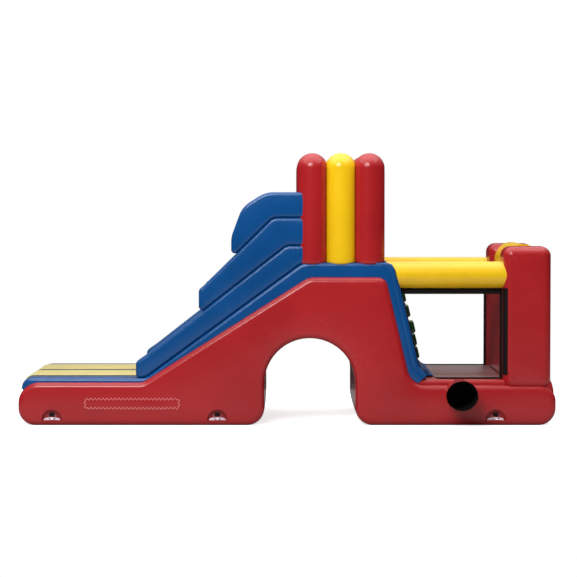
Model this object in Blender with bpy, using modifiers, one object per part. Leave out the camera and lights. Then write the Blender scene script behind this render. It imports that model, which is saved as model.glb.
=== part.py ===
# Inflatable slide: a landing, a ramp, a tower over a crawl tunnel, a climbing wall and a play floor.
# Metres, +Z up. X runs from the landing (low) to the play end (high), Y from the front side to the far side.

import math

import bmesh
import bpy
from mathutils import Matrix, Vector

# Overall sizes
LENGTH = 5.0
WIDTH = 2.0
ORIGIN_X = 1.40  # the origin lies this far past the middle of the length, under the play floor
CLEARANCE = 0.0003

# Main body, seen from the side
BASE_HEIGHT = 0.379
END_RADIUS = 0.16
RIM_RADIUS = 0.09
RAMP_FOOT_X = -1.332
RAMP_HEAD_X = 0.210
PLATFORM_HEIGHT = 1.356
CLIMB_HEAD_X = 0.925
CLIMB_LEAN = math.radians(13.3)
RAMP_RADIUS = 0.15
PLATFORM_RADIUS = 0.10
FOOT_FILLET = 0.12
CLIMB_FILLET = 0.16

# Tunnel
TUNNEL_X = 0.213
TUNNEL_RADIUS = 0.424
TUNNEL_SPRING = 0.385
TUNNEL_FOOT_RADIUS = 0.16

# Inner chamber and webs
SKIN = 0.05
WEB_THICKNESS = 0.006
WEB_SPREAD = 0.48
AIR_HOLE_RADIUS = 0.06
AIR_HOLE_SPACING = 0.55

# Slide bed
BED_FOOT = 0.061
BED_HEAD = 0.154
BED_CLIMB = 0.066
BED_TOE_RUN = 0.083
BED_TOE_RISE = 0.069
BED_TOE_FALL = 0.60
BED_TOE_FILLET = 0.12
BED_TIP = 0.018
BED_END_LEAN = 0.014
BED_END_RADIUS = 0.085
BED_CORNER = 0.10
BED_SIDE_RIM = 0.010
TOE_STEPS = 2
TIP_STEPS = 3

# Slide lanes
DIVIDER_WIDTH = 0.20
LANE_GAP = 0.008
LANE_THICKNESS = 0.012
LANE_RIM = 0.005

# Side walls, three layers a side
WALL_THICKNESS = 0.25
WALL_INSET = 0.059
WALL_RIM = 0.034
WALL_CORNER = 0.045
WALL_TIP = 0.036
WALL_BEND = 0.10
NOSE_RUN = 0.103
LOWER_START_X = -1.407
LOWER_NOSE = 0.145
LOWER_KNEE_X = -0.005
LOWER_RISE = 0.162
LOWER_FOOT_RISE = 0.217
MIDDLE_START_X = -0.821
MIDDLE_NOSE = 0.225
MIDDLE_KNEE_X = -0.132
MIDDLE_RISE = 0.420
UPPER_START_X = -0.519
UPPER_NOSE = 0.13
UPPER_RISE = 0.655
UPPER_BROW_X = -0.415
UPPER_BROW_DROP = 0.135
UPPER_CROWN_X = -0.200
UPPER_ROUND = 0.25

# Tower columns, three a side
COLUMN_RADIUS = 0.144
COLUMN_PITCH = 0.2655
COLUMN_TOP = 2.529
COLUMN_FIRST_X = 0.235
COLUMN_INSET = 0.171
COLUMN_FOOT_RADIUS = 0.03

# Climbing wall and play floor
PANEL_HALF_WIDTH = 0.70
RIB_COUNT = 8
RIB_RISE = 0.022
PANEL_THICKNESS = 0.018
PANEL_REACH = 0.045
PANEL_EDGE = 0.25
FOOT_ROUND = 0.08
FOOT_STEPS = 4
FLOOR_THICKNESS = 0.045
FLOOR_MARGIN = 0.045
FLOOR_ROUND = 0.035
FLOOR_END_SHARES = (1.16, 1.50, 0.62, 0.10)

# Climbing holds
HOLD_HEIGHT = 0.132
HOLD_WIDTH = 0.15
HOLD_DEPTH = 0.066
HOLD_EDGE = 0.018
HOLD_TAPER = 0.86
HOLD_HEAD_MARGIN = 0.385
HOLD_FOOT_MARGIN = 0.014
HOLD_SPREADS = (0.10, 0.27, 0.55, 0.27, 0.10)

# Play end
PILLAR_START_X = 2.010
PILLAR_LENGTH = 0.440
PILLAR_DEPTH = 0.47
PILLAR_TOP = 1.658
PILLAR_RADIUS = 0.085
PILLAR_RIM = 0.08
END_WALL_LENGTH = 0.37
END_SEAT = 0.09
END_WALL_TOP = 1.335
END_WALL_RIM = 0.05
END_TUBE_RADIUS = 0.17
RAIL_RADIUS = 0.124
RAIL_HEIGHT = 1.396
RAIL_INSET = 0.145

# Window hems
HEM_THICKNESS = 0.005
HEM_TOP = 0.055
HEM_SIDE = 0.028
HEM_FOOT = 0.016
HEM_BEND = 0.13

# Inflation sleeve
SLEEVE_X = 1.60
SLEEVE_HEIGHT = 0.304
SLEEVE_RADIUS = 0.140
SLEEVE_WALL = 0.006
SLEEVE_REACH = 0.34
SLEEVE_HEM = 0.03
PORT_HEIGHT = 0.240
PORT_RADIUS = 0.070

# Anchors
ANCHOR_XS = (-2.183, -0.647, 1.938)
NICHE_WIDTH = 0.19
NICHE_HEIGHT = 0.085
NICHE_FLOOR = 0.040
NICHE_DEPTH = 0.030
TAB_WIDTH = 0.045
TAB_LENGTH = 0.022
TAB_THICKNESS = 0.003
RING_WIRE = 0.0035
RING_WIDTH = 0.066
RING_DROP = 0.044
RING_HEIGHT = 0.096
RING_PLAY = 0.0012

# Air release zip and its flap
ZIP_X = -1.438
ZIP_HEIGHT = 0.205
POCKET_LENGTH = 0.82
POCKET_HEIGHT = 0.044
POCKET_DEPTH = 0.014
ZIP_TAPE_THICKNESS = 0.002
SLIDER_LENGTH = 0.034
SLIDER_HEIGHT = 0.020
SLIDER_THICKNESS = 0.007
FLAP_LENGTH = 0.897
FLAP_HEIGHT = 0.112
FLAP_THICKNESS = 0.003

# Colours
RED = (0.43, 0.020, 0.022)
BLUE = (0.008, 0.065, 0.235)
YELLOW = (0.90, 0.58, 0.015)
GREEN = (0.008, 0.075, 0.012)
BLACK = (0.012, 0.012, 0.013)
STEEL = (0.62, 0.63, 0.65)

HALF_WIDTH = WIDTH / 2
COLUMN_Y = HALF_WIDTH - COLUMN_INSET
WALL_Y = HALF_WIDTH - WALL_INSET - WALL_THICKNESS / 2
LANE_OUTER_Y = min(WALL_Y - WALL_THICKNESS / 2, COLUMN_Y - COLUMN_RADIUS) - LANE_GAP
LANE_WIDTH = LANE_OUTER_Y - DIVIDER_WIDTH / 2
CLIMB_RUN = math.tan(CLIMB_LEAN)
CUT_PAST = 0.02  # how far a cutter runs past the face it starts from
ARC_STEP = math.radians(15)
INNER_STEP = math.radians(30)


def clear_scene():
    for obj in list(bpy.data.objects):
        bpy.data.objects.remove(obj, do_unlink=True)


def new_collection(name, hidden=False):
    collection = bpy.data.collections.new(name)
    bpy.context.scene.collection.children.link(collection)
    collection.hide_render = hidden
    return collection


def material(name, colour, roughness, metallic=0.0):
    made = bpy.data.materials.new(name)
    made.use_nodes = True
    shader = made.node_tree.nodes["Principled BSDF"]
    shader.inputs["Base Color"].default_value = (*colour, 1.0)
    shader.inputs["Roughness"].default_value = roughness
    shader.inputs["Metallic"].default_value = metallic
    return made


clear_scene()
PARTS = new_collection("inflatable_slide")
CUTTERS = new_collection("cutters", hidden=True)
FRAME = bpy.data.objects.new("slide_frame", None)
FRAME.location = (-ORIGIN_X, 0, 0)
PARTS.objects.link(FRAME)


def place(obj, location=(0, 0, 0), rotation=(0, 0, 0), parent=None):
    obj.location = location
    obj.rotation_euler = rotation
    obj.parent = parent or FRAME
    return obj


def finish(obj, colour, roughness=0.35, metallic=0.0):
    """Gives the piece its own material, named after it."""
    obj.data.materials.clear()
    obj.data.materials.append(material(obj.name, colour, roughness, metallic))
    return obj


def hide_cutter(obj):
    for old in list(obj.users_collection):
        old.objects.unlink(obj)
    CUTTERS.objects.link(obj)
    obj.hide_render = True
    obj.display_type = "WIRE"
    return obj


def rounded(corners, step=ARC_STEP):
    """Points of a closed outline whose corners (x, z, radius) are arcs."""
    points = []
    count = len(corners)
    for i, (x, z, radius) in enumerate(corners):
        corner = Vector((x, z))
        before = (Vector(corners[i - 1][:2]) - corner).normalized()
        after = (Vector(corners[(i + 1) % count][:2]) - corner).normalized()
        if radius <= 0:
            points.append((x, z))
            continue
        half = before.angle(after) / 2
        centre = corner + (before + after).normalized() * radius / math.sin(half)
        first = corner + before * radius / math.tan(half) - centre
        turn = math.pi - 2 * half
        turn *= 1 if before.x * after.y - before.y * after.x < 0 else -1
        steps = max(2, math.ceil(abs(turn) / step))
        for k in range(steps + 1):
            spoke = first.copy()
            spoke.rotate(Matrix.Rotation(turn * k / steps, 2))
            points.append(tuple(centre + spoke))
    return points


def rounded_open(corners):
    """Points of an open path (x, z, radius) with arcs at its inner corners."""
    ends = {0, len(corners) - 1}
    kept = [(x, z, 0 if i in ends else r) for i, (x, z, r) in enumerate(corners)]
    return rounded(kept)


def plate(name, outlines, depth, rim=0.0, shrink=0.0, rim_steps=1, plane="XZ"):
    """Flat outlines with a thickness across them and round rims, as a filled 2D curve.

    They lie in the XZ plane with the thickness along Y, or in the YZ plane with the thickness along X.
    """
    curve = bpy.data.curves.new(name, "CURVE")
    curve.dimensions = "2D"
    curve.fill_mode = "BOTH"
    curve.extrude = depth / 2 - rim
    curve.bevel_depth = rim
    curve.bevel_resolution = rim_steps
    curve.offset = -rim - shrink
    for outline in outlines:
        spline = curve.splines.new("POLY")
        spline.points.add(len(outline) - 1)
        for point, (u, v) in zip(spline.points, outline):
            point.co = (u, v, 0, 1)
        spline.use_cyclic_u = True
    obj = bpy.data.objects.new(name, curve)
    PARTS.objects.link(obj)
    turn = 0.0 if plane == "XZ" else math.pi / 2
    return place(obj, rotation=(math.pi / 2, 0, turn))


def to_mesh(obj):
    """The curve as a closed mesh with its caps welded, for a Boolean."""
    bpy.context.view_layer.update()
    graph = bpy.context.evaluated_depsgraph_get()
    mesh = bpy.data.meshes.new_from_object(obj.evaluated_get(graph))
    work = bmesh.new()
    work.from_mesh(mesh)
    bmesh.ops.remove_doubles(work, verts=work.verts, dist=0.00001)
    bmesh.ops.recalc_face_normals(work, faces=work.faces)
    work.to_mesh(mesh)
    work.free()
    name = obj.name
    made = bpy.data.objects.new(name + "_mesh", mesh)
    made.matrix_basis = obj.matrix_basis
    made.parent = obj.parent
    PARTS.objects.link(made)
    bpy.data.objects.remove(obj, do_unlink=True)
    made.name = name
    smooth(made)
    return made


def smooth(obj, angle=math.radians(40)):
    obj.data.shade_smooth()
    obj.data.set_sharp_from_angle(angle=angle)
    return obj


def box(name, size, location, edge=0.0, segments=2, rotation=(0, 0, 0)):
    mesh = bpy.data.meshes.new(name)
    work = bmesh.new()
    bmesh.ops.create_cube(work, size=1.0)
    bmesh.ops.scale(work, vec=size, verts=work.verts)
    work.to_mesh(mesh)
    work.free()
    obj = bpy.data.objects.new(name, mesh)
    PARTS.objects.link(obj)
    if edge:
        bevel = obj.modifiers.new("edges", "BEVEL")
        bevel.width = edge
        bevel.segments = segments
        bevel.limit_method = "ANGLE"
    return place(obj, location, rotation)


def cylinder(name, radius, depth, location, rotation=(0, 0, 0), steps=32):
    mesh = bpy.data.meshes.new(name)
    work = bmesh.new()
    bmesh.ops.create_cone(
        work, cap_ends=True, segments=steps, radius1=radius, radius2=radius, depth=depth
    )
    work.to_mesh(mesh)
    work.free()
    obj = bpy.data.objects.new(name, mesh)
    PARTS.objects.link(obj)
    return place(obj, location, rotation)


def turned(name, profile, steps=20):
    """A profile (radius, height), run down its outer side, turned about Z."""
    mesh = bpy.data.meshes.new(name)
    verts = [(r, 0, z) for r, z in profile]
    mesh.from_pydata(verts, [(i, i + 1) for i in range(len(verts) - 1)], [])
    obj = bpy.data.objects.new(name, mesh)
    PARTS.objects.link(obj)
    screw = obj.modifiers.new("turn", "SCREW")
    screw.steps = steps
    screw.render_steps = steps
    screw.use_merge_vertices = True
    screw.merge_threshold = 0.00005
    screw.use_smooth_shade = True
    return place(obj)


def tube(name, points, radius, resolution=3, cyclic=False):
    curve = bpy.data.curves.new(name, "CURVE")
    curve.dimensions = "3D"
    curve.bevel_depth = radius
    curve.bevel_resolution = resolution
    curve.use_fill_caps = True
    spline = curve.splines.new("POLY")
    spline.points.add(len(points) - 1)
    for point, co in zip(spline.points, points):
        point.co = (*co, 1)
    spline.use_cyclic_u = cyclic
    obj = bpy.data.objects.new(name, curve)
    PARTS.objects.link(obj)
    return place(obj)


def cut(obj, cutter):
    """Takes the cutter away from the piece."""
    hide_cutter(cutter)
    boolean = obj.modifiers.new("cut_" + cutter.name, "BOOLEAN")
    boolean.operation = "DIFFERENCE"
    boolean.object = cutter
    return obj


# Lines of the side view that several pieces share


def climb_x(z, offset=0.0):
    """X of the climbing side's line at a height, moved outwards by an offset."""
    head = CLIMB_HEAD_X + offset / math.cos(CLIMB_LEAN)
    return head + (PLATFORM_HEIGHT - z) * CLIMB_RUN


def body_line():
    """Points of the main body's top line, from the play floor over the tower and round the landing's end."""
    left = -LENGTH / 2
    path = [(LENGTH / 2, BASE_HEIGHT, 0)] + lower_line_path()
    path += [(left, BASE_HEIGHT, END_RADIUS), (left, 0, 0)]
    return rounded_open(path)[1:-1]


def bed_underside():
    """The stretch of the main body's top line that the bed lies on, from its toe to its tip."""
    line = body_line()
    return line[TOE_STEPS : len(line) - TIP_STEPS]


def bed_foot_point():
    return (RAMP_FOOT_X + 0.3 * BED_FOOT, BASE_HEIGHT + BED_FOOT)


def bed_head_point():
    return (RAMP_HEAD_X - 0.42 * BED_HEAD, PLATFORM_HEIGHT + BED_HEAD)


# Main body


def lower_line_path():
    """The main body's top line from the play floor back to the landing."""
    return [
        (climb_x(BASE_HEIGHT), BASE_HEIGHT, CLIMB_FILLET),
        (CLIMB_HEAD_X, PLATFORM_HEIGHT, PLATFORM_RADIUS),
        (RAMP_HEAD_X, PLATFORM_HEIGHT, RAMP_RADIUS),
        (RAMP_FOOT_X, BASE_HEIGHT, FOOT_FILLET),
    ]


def tunnel_arch(steps):
    """Points over the tunnel from its landing side to its play side."""
    points = []
    for k in range(steps + 1):
        angle = math.pi - math.pi * k / steps
        x = TUNNEL_X + TUNNEL_RADIUS * math.cos(angle)
        z = TUNNEL_SPRING + TUNNEL_RADIUS * math.sin(angle)
        points.append((x, z, 0))
    return points


def body_outline(step=ARC_STEP):
    """The main body from the side, anticlockwise from its lower left corner."""
    left = -LENGTH / 2
    right = LENGTH / 2
    corners = [(left, 0, END_RADIUS)]
    corners.append((TUNNEL_X - TUNNEL_RADIUS, 0, TUNNEL_FOOT_RADIUS))
    corners += tunnel_arch(round(math.pi / step * 1.5))
    corners.append((TUNNEL_X + TUNNEL_RADIUS, 0, TUNNEL_FOOT_RADIUS))
    corners.append((right, 0, END_RADIUS))
    corners.append((right, BASE_HEIGHT, END_RADIUS))
    corners += lower_line_path()
    corners.append((left, BASE_HEIGHT, END_RADIUS))
    return rounded(corners, step)


def niche_cutter(index, x, side):
    """A half ellipse at the foot of the side face, deep enough for the ring to hang in."""
    across = NICHE_WIDTH / 2
    steps = 12
    top = []
    for k in range(steps + 1):
        angle = math.pi * k / steps
        top.append((x + across * math.cos(angle), NICHE_FLOOR + NICHE_HEIGHT * math.sin(angle)))
    reach = NICHE_DEPTH + CUT_PAST
    cutter = plate(f"niche_{index}", [top], reach)
    cutter.location.y = side * (HALF_WIDTH - NICHE_DEPTH + reach / 2)
    return to_mesh(cutter)


def body_space(name):
    """The main body's outer form with the clearance round it, to cut what seats on it."""
    width = WIDTH + 2 * CLEARANCE
    return to_mesh(plate(name, [body_outline()], width, RIM_RADIUS, shrink=-CLEARANCE, rim_steps=2))


def make_main_body():
    body = to_mesh(plate("main_body", [body_outline()], WIDTH, RIM_RADIUS, rim_steps=2))
    inner_rim = RIM_RADIUS - SKIN
    chamber = plate("chamber", [body_outline(INNER_STEP)], WIDTH - 2 * SKIN, inner_rim, shrink=SKIN)
    cut(body, to_mesh(chamber))
    port_depth = 2 * SKIN
    port_at = (SLEEVE_X, -HALF_WIDTH + SKIN / 2, PORT_HEIGHT)
    cut(body, cylinder("air_port", PORT_RADIUS, port_depth, port_at, (math.pi / 2, 0, 0), 20))
    for index, (x, side) in enumerate(anchor_places()):
        cut(body, niche_cutter(index, x, side))
    pocket_size = (POCKET_LENGTH, POCKET_DEPTH + CUT_PAST, POCKET_HEIGHT)
    pocket_y = -HALF_WIDTH + POCKET_DEPTH - (POCKET_DEPTH + CUT_PAST) / 2
    cut(body, box("zip_pocket", pocket_size, (ZIP_X, pocket_y, ZIP_HEIGHT)))
    return finish(body, RED)


def web_holes():
    """Air holes along the webs: over the landing, the play base and the tunnel."""
    low = BASE_HEIGHT / 2
    xs = [-LENGTH / 2 + AIR_HOLE_SPACING * (k + 1) for k in range(3)]
    xs += [LENGTH / 2 - AIR_HOLE_SPACING * (k + 1) for k in range(2)]
    holes = [(x, low) for x in xs]
    over = (TUNNEL_SPRING + TUNNEL_RADIUS + PLATFORM_HEIGHT) / 2
    holes += [(TUNNEL_X + 0.1, over), (TUNNEL_X + 0.45, over)]
    return holes


def circle(centre, radius, steps=16):
    turns = [2 * math.pi * k / steps for k in range(steps)]
    return [(centre[0] + radius * math.cos(a), centre[1] + radius * math.sin(a)) for a in turns]


def make_inner_webs():
    for name, y in (("front", -WEB_SPREAD), ("middle", 0), ("back", WEB_SPREAD)):
        outlines = [body_outline(INNER_STEP)]
        outlines += [circle(at, AIR_HOLE_RADIUS, 8) for at in web_holes()]
        web = plate(f"inner_web_{name}", outlines, WEB_THICKNESS, shrink=SKIN + CLEARANCE)
        web.location.y = y
        finish(web, RED, 0.5)


# Slide bed and lanes


def bed_tip():
    """The bed's end at the landing: a step out from the main body's round end."""
    x, z = bed_underside()[-1]
    spoke = Vector((x + LENGTH / 2 - END_RADIUS, z - BASE_HEIGHT + END_RADIUS)).normalized()
    return (x + spoke.x * BED_TIP, z + spoke.y * BED_TIP)


def bed_toe():
    """The bed's end at the foot of the climbing side: a slanting face up from the main body."""
    x, z = bed_underside()[0]
    return (x + BED_TOE_RUN, z + BED_TOE_RISE)


def toe_knee():
    """Where the bed's top line turns from the climb towards the toe."""
    x, z = bed_toe()
    top_x = climb_x(z, BED_CLIMB)
    back = (x - top_x) / (1 - BED_TOE_FALL * CLIMB_RUN)
    return (x - back, z + back * BED_TOE_FALL)


def bed_path():
    """The bed's top line from its tip at the landing over the platform to its toe."""
    top = PLATFORM_HEIGHT + BED_HEAD
    return [
        (*bed_tip(), 0),
        (bed_tip()[0] + BED_END_LEAN, BASE_HEIGHT + BED_FOOT, BED_END_RADIUS),
        (*bed_foot_point(), FOOT_FILLET),
        (*bed_head_point(), RAMP_RADIUS),
        (climb_x(top, BED_CLIMB), top, BED_CORNER),
        (*toe_knee(), BED_TOE_FILLET),
        (*bed_toe(), 0),
    ]


def make_bed_form(name, shrink):
    outline = rounded_open(bed_path()) + bed_underside()
    return plate(name, [outline], WIDTH, BED_SIDE_RIM, shrink=shrink)


def make_slide_bed():
    finish(make_bed_form("slide_bed", CLEARANCE), BLUE)


def bed_space(name):
    """The bed's form with the clearance round it, to cut what butts against it."""
    return to_mesh(make_bed_form(name, 0.0))


def offset_path(corners, distance):
    """An open path (x, z, radius) moved to its left by a distance."""
    moved = []
    last = len(corners) - 1
    for i, (x, z, radius) in enumerate(corners):
        here = Vector((x, z))
        before = Vector(corners[max(i, 1) - 1][:2])
        after = Vector(corners[min(i, last - 1) + 1][:2])
        into = (here - before).normalized() if i else (after - here).normalized()
        out = (after - here).normalized() if i < last else into
        left_in = Vector((-into.y, into.x))
        left_out = Vector((-out.y, out.x))
        shift = (left_in + left_out) * distance / (1 + left_in.dot(left_out))
        bend = into.x * out.y - into.y * out.x
        grown = radius - distance if bend > 0 else radius + distance
        moved.append((x + shift.x, z + shift.y, grown if radius > 0 else 0))
    return moved


def lane_path():
    """The line a lane lies on: up the bed's rounded end, over the landing and up the ramp."""
    path = bed_path()[:4]
    end_x = path[3][0] + RAMP_RADIUS
    return path + [(end_x, path[3][1], 0)]


def make_lanes():
    low = offset_path(lane_path(), CLEARANCE)
    high = offset_path(lane_path(), CLEARANCE + LANE_THICKNESS)
    outline = rounded(high + low[::-1])
    y = LANE_OUTER_Y - LANE_WIDTH / 2
    for name, side in (("front", -1), ("back", 1)):
        lane = plate(f"slide_lane_{name}", [outline], LANE_WIDTH, LANE_RIM)
        lane.location.y = side * y
        finish(lane, YELLOW)


# Side walls


def lower_seam():
    """Line between the lower and the middle layer: its start on the slope and its knee."""
    start_x = LOWER_START_X + NOSE_RUN
    start_z = BASE_HEIGHT + BED_FOOT + LOWER_FOOT_RISE
    return (start_x, start_z), (LOWER_KNEE_X, wall_level(LOWER_RISE))


def middle_seam():
    lower_start, lower_knee = lower_seam()
    start_x = MIDDLE_START_X + NOSE_RUN / 3
    slope = (lower_knee[1] - lower_start[1]) / (lower_knee[0] - lower_start[0])
    start_z = lower_start[1] + (start_x - lower_start[0]) * slope + MIDDLE_NOSE
    return (start_x, start_z), (MIDDLE_KNEE_X, wall_level(MIDDLE_RISE))


def wall_level(rise):
    return PLATFORM_HEIGHT + BED_HEAD + rise


def on_line(line, x):
    (x0, z0), (x1, z1) = line
    return z0 + (x - x0) * (z1 - z0) / (x1 - x0)


def lower_layer():
    start, knee = lower_seam()
    bed_z = BASE_HEIGHT + BED_FOOT
    return [
        (LOWER_START_X, bed_z, WALL_TIP),
        (*bed_foot_point(), FOOT_FILLET),
        (*bed_head_point(), RAMP_RADIUS),
        (COLUMN_FIRST_X, PLATFORM_HEIGHT + BED_HEAD, 0),
        (COLUMN_FIRST_X, knee[1], 0),
        (*knee, WALL_BEND),
        (*start, WALL_CORNER),
        (LOWER_START_X, bed_z + LOWER_NOSE, WALL_CORNER),
    ]


def middle_layer():
    start, knee = middle_seam()
    lower = lower_seam()
    low_z = on_line(lower, MIDDLE_START_X)
    return [
        (MIDDLE_START_X, low_z, WALL_TIP),
        (*lower[1], WALL_BEND),
        (COLUMN_FIRST_X, lower[1][1], 0),
        (COLUMN_FIRST_X, knee[1], 0),
        (*knee, WALL_BEND),
        (*start, WALL_CORNER),
        (MIDDLE_START_X, low_z + MIDDLE_NOSE, WALL_CORNER),
    ]


def upper_layer():
    middle = middle_seam()
    low_z = on_line(middle, UPPER_START_X)
    top = wall_level(UPPER_RISE)
    return [
        (UPPER_START_X, low_z, WALL_TIP),
        (*middle[1], WALL_BEND),
        (COLUMN_FIRST_X, middle[1][1], 0),
        (COLUMN_FIRST_X, top, 0),
        (UPPER_CROWN_X, top, UPPER_ROUND),
        (UPPER_BROW_X, top - UPPER_BROW_DROP, UPPER_ROUND),
        (UPPER_START_X, low_z + UPPER_NOSE, UPPER_ROUND),
    ]


def column_space(name, side):
    """The first column's form with the clearance round it."""
    height = COLUMN_TOP - PLATFORM_HEIGHT
    at = (COLUMN_FIRST_X, side * COLUMN_Y, PLATFORM_HEIGHT + height / 2)
    steps = 48
    half_step = math.pi / steps
    radius = (COLUMN_RADIUS + CLEARANCE) / math.cos(half_step)
    return cylinder(name, radius, height, at, (0, 0, half_step), steps)


def make_side_walls():
    layers = (("lower", lower_layer()), ("middle", middle_layer()), ("upper", upper_layer()))
    for side_name, side in (("front", -1), ("back", 1)):
        for layer_name, corners in layers:
            name = f"side_wall_{layer_name}_{side_name}"
            wall = plate(name, [rounded(corners)], WALL_THICKNESS, WALL_RIM, shrink=CLEARANCE)
            wall.location.y = side * WALL_Y
            wall = cut(to_mesh(wall), column_space(f"column_space_{layer_name}_{side_name}", side))
            finish(wall, BLUE)


# Tower columns


def quarter_turn(steps):
    """The angles of a quarter turn, in even steps."""
    return [math.pi / 2 * k / steps for k in range(steps + 1)]


def column_profile():
    bottom = PLATFORM_HEIGHT + BED_HEAD + CLEARANCE
    dome_centre = COLUMN_TOP - COLUMN_RADIUS
    points = []
    for angle in quarter_turn(5):
        points.append((COLUMN_RADIUS * math.sin(angle), dome_centre + COLUMN_RADIUS * math.cos(angle)))
    for angle in quarter_turn(2):
        inwards = COLUMN_FOOT_RADIUS * (1 - math.cos(angle))
        upwards = COLUMN_FOOT_RADIUS * (1 - math.sin(angle))
        points.append((COLUMN_RADIUS - inwards, bottom + upwards))
    points.append((0, bottom))
    return points


def make_columns():
    colours = (RED, YELLOW, RED)
    last = len(colours) - 1
    beyond = COLUMN_RADIUS
    for side_name, side in (("front", -1), ("back", 1)):
        for index, colour in enumerate(colours):
            name = f"column_{index + 1}_{side_name}"
            column = turned(name, column_profile())
            x = COLUMN_FIRST_X + index * COLUMN_PITCH
            column.location = (x, side * COLUMN_Y, 0)
            size = (beyond, 3 * COLUMN_RADIUS, 3 * COLUMN_TOP)
            for way in (-1, 1):
                if not 0 <= index + way <= last:
                    continue
                flat = way * ((COLUMN_PITCH - CLEARANCE) / 2 + beyond / 2)
                side_word = "low" if way < 0 else "high"
                at = (x + flat, side * COLUMN_Y, COLUMN_TOP)
                cut(column, box(f"{name}_flat_{side_word}", size, at))
            finish(column, colour)


# Climbing wall and play floor


def rib_line(half_width, base, steps=5):
    """(y, height) points over a row of round ribs."""
    rib = 2 * half_width / RIB_COUNT
    points = []
    for k in range(RIB_COUNT * steps + 1):
        y = -half_width + rib * k / steps
        bump = abs(math.sin(math.pi * k / steps))
        points.append((y, base + RIB_RISE * bump))
    return points


def sweep(name, section, path):
    """A closed section (y, height) carried along a path (x, z, share of the height) in the XZ plane."""
    mesh = bpy.data.meshes.new(name)
    work = bmesh.new()
    rings = []
    for i, here in enumerate(path):
        before = Vector(path[max(i - 1, 0)][:2])
        after = Vector(path[min(i + 1, len(path) - 1)][:2])
        along = (after - before).normalized()
        ring = []
        for y, height in section:
            lift = Vector((-along.y, along.x)) * (CLEARANCE + (height - CLEARANCE) * here[2])
            ring.append(work.verts.new((here[0] + lift.x, y, here[1] + lift.y)))
        rings.append(ring)
    count = len(section)
    for low, high in zip(rings, rings[1:]):
        for k in range(count):
            after = (k + 1) % count
            work.faces.new((low[k], low[after], high[after], high[k]))
    work.faces.new(rings[0])
    work.faces.new(rings[-1][::-1])
    bmesh.ops.recalc_face_normals(work, faces=work.faces)
    work.to_mesh(mesh)
    work.free()
    obj = bpy.data.objects.new(name, mesh)
    PARTS.objects.link(obj)
    smooth(obj)
    return place(obj)


def climb_path():
    """The line the climbing wall lies on: down the climb, over the bed's toe and on to the floor."""
    top_z = PLATFORM_HEIGHT + BED_HEAD - 1.2 * BED_CORNER
    x, z = bed_toe()
    floor_z = BASE_HEIGHT + FLOOR_THICKNESS + RIB_RISE + CLEARANCE
    floor_x = x + (z - floor_z) / BED_TOE_FALL
    return [
        (climb_x(top_z, BED_CLIMB), top_z, 0),
        (*toe_knee(), BED_TOE_FILLET),
        (floor_x, floor_z, FOOT_ROUND),
        (floor_x + PANEL_REACH, floor_z, 0),
    ]


def make_climbing_wall():
    """Ribs down the climb that thin out where they run onto the floor."""
    line = rounded_open(climb_path())
    thinning = [1.0 - (1.0 - PANEL_EDGE) * k / FOOT_STEPS for k in range(1, FOOT_STEPS + 1)]
    shares = [1.0] * (len(line) - FOOT_STEPS) + thinning
    path = [(x, z, share) for (x, z), share in zip(line, shares)]
    section = [(-PANEL_HALF_WIDTH, CLEARANCE)] + rib_line(PANEL_HALF_WIDTH, PANEL_THICKNESS)
    section += [(PANEL_HALF_WIDTH, CLEARANCE)]
    finish(sweep("climbing_wall", section, path), BLUE)


def floor_section(grow=0.0):
    """(y, height) of the play floor's section: a slab with round shoulders and a row of ribs."""
    half = HALF_WIDTH - FLOOR_MARGIN + grow
    top = FLOOR_THICKNESS + grow
    arc = [
        (half - FLOOR_ROUND * (1 - math.cos(angle)), top - FLOOR_ROUND * (1 - math.sin(angle)))
        for angle in quarter_turn(4)
    ]
    right = [(half, CLEARANCE)] + arc
    left = [(-y, height) for y, height in right]
    return left + rib_line(PANEL_HALF_WIDTH, top) + right[::-1]


def make_play_floor():
    """The slab under the play area, square at the base's round end and cut by the pillars standing in it."""
    path = [(x, z, 1.0) for x, z in body_line()[TOE_STEPS::-1]]
    for step, share in enumerate((1.0, *FLOOR_END_SHARES)):
        turn = math.pi / 2 - step * ARC_STEP
        x = LENGTH / 2 - END_RADIUS * (1 - math.cos(turn))
        path.append((x, BASE_HEIGHT - END_RADIUS * (1 - math.sin(turn)), share))
    floor = sweep("play_floor", floor_section(), path)
    cut(floor, bed_space("floor_bed"))
    finish(cut_by_pillars(floor), RED)


# Holds


def climb_length():
    """Length of the climb's straight stretch, from the platform's level to where it bends into the toe."""
    turn = math.pi / 2 - CLIMB_LEAN - math.atan(BED_TOE_FALL)
    drop = PLATFORM_HEIGHT + BED_HEAD - toe_knee()[1]
    return drop / math.cos(CLIMB_LEAN) - BED_TOE_FILLET * math.tan(turn / 2)


def climb_space(name):
    """The climbing wall's form up to its ribs with the clearance on them, to cut what reaches its bend."""
    low = climb_path()
    high = offset_path(low, PANEL_THICKNESS + RIB_RISE + CLEARANCE)
    outline = rounded_open(high) + rounded_open(low)[::-1]
    return to_mesh(plate(name, [outline], WIDTH))


def hold_places():
    """(along the climb from its top, y) of every hold: rows in a zigzag, mirrored about the middle."""
    pitch = (climb_length() - HOLD_HEAD_MARGIN - HOLD_FOOT_MARGIN) / (len(HOLD_SPREADS) - 1)
    places = []
    for row, spread in enumerate(HOLD_SPREADS):
        along = HOLD_HEAD_MARGIN + row * pitch
        places += [(along, -spread), (along, spread)]
    return places


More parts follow.
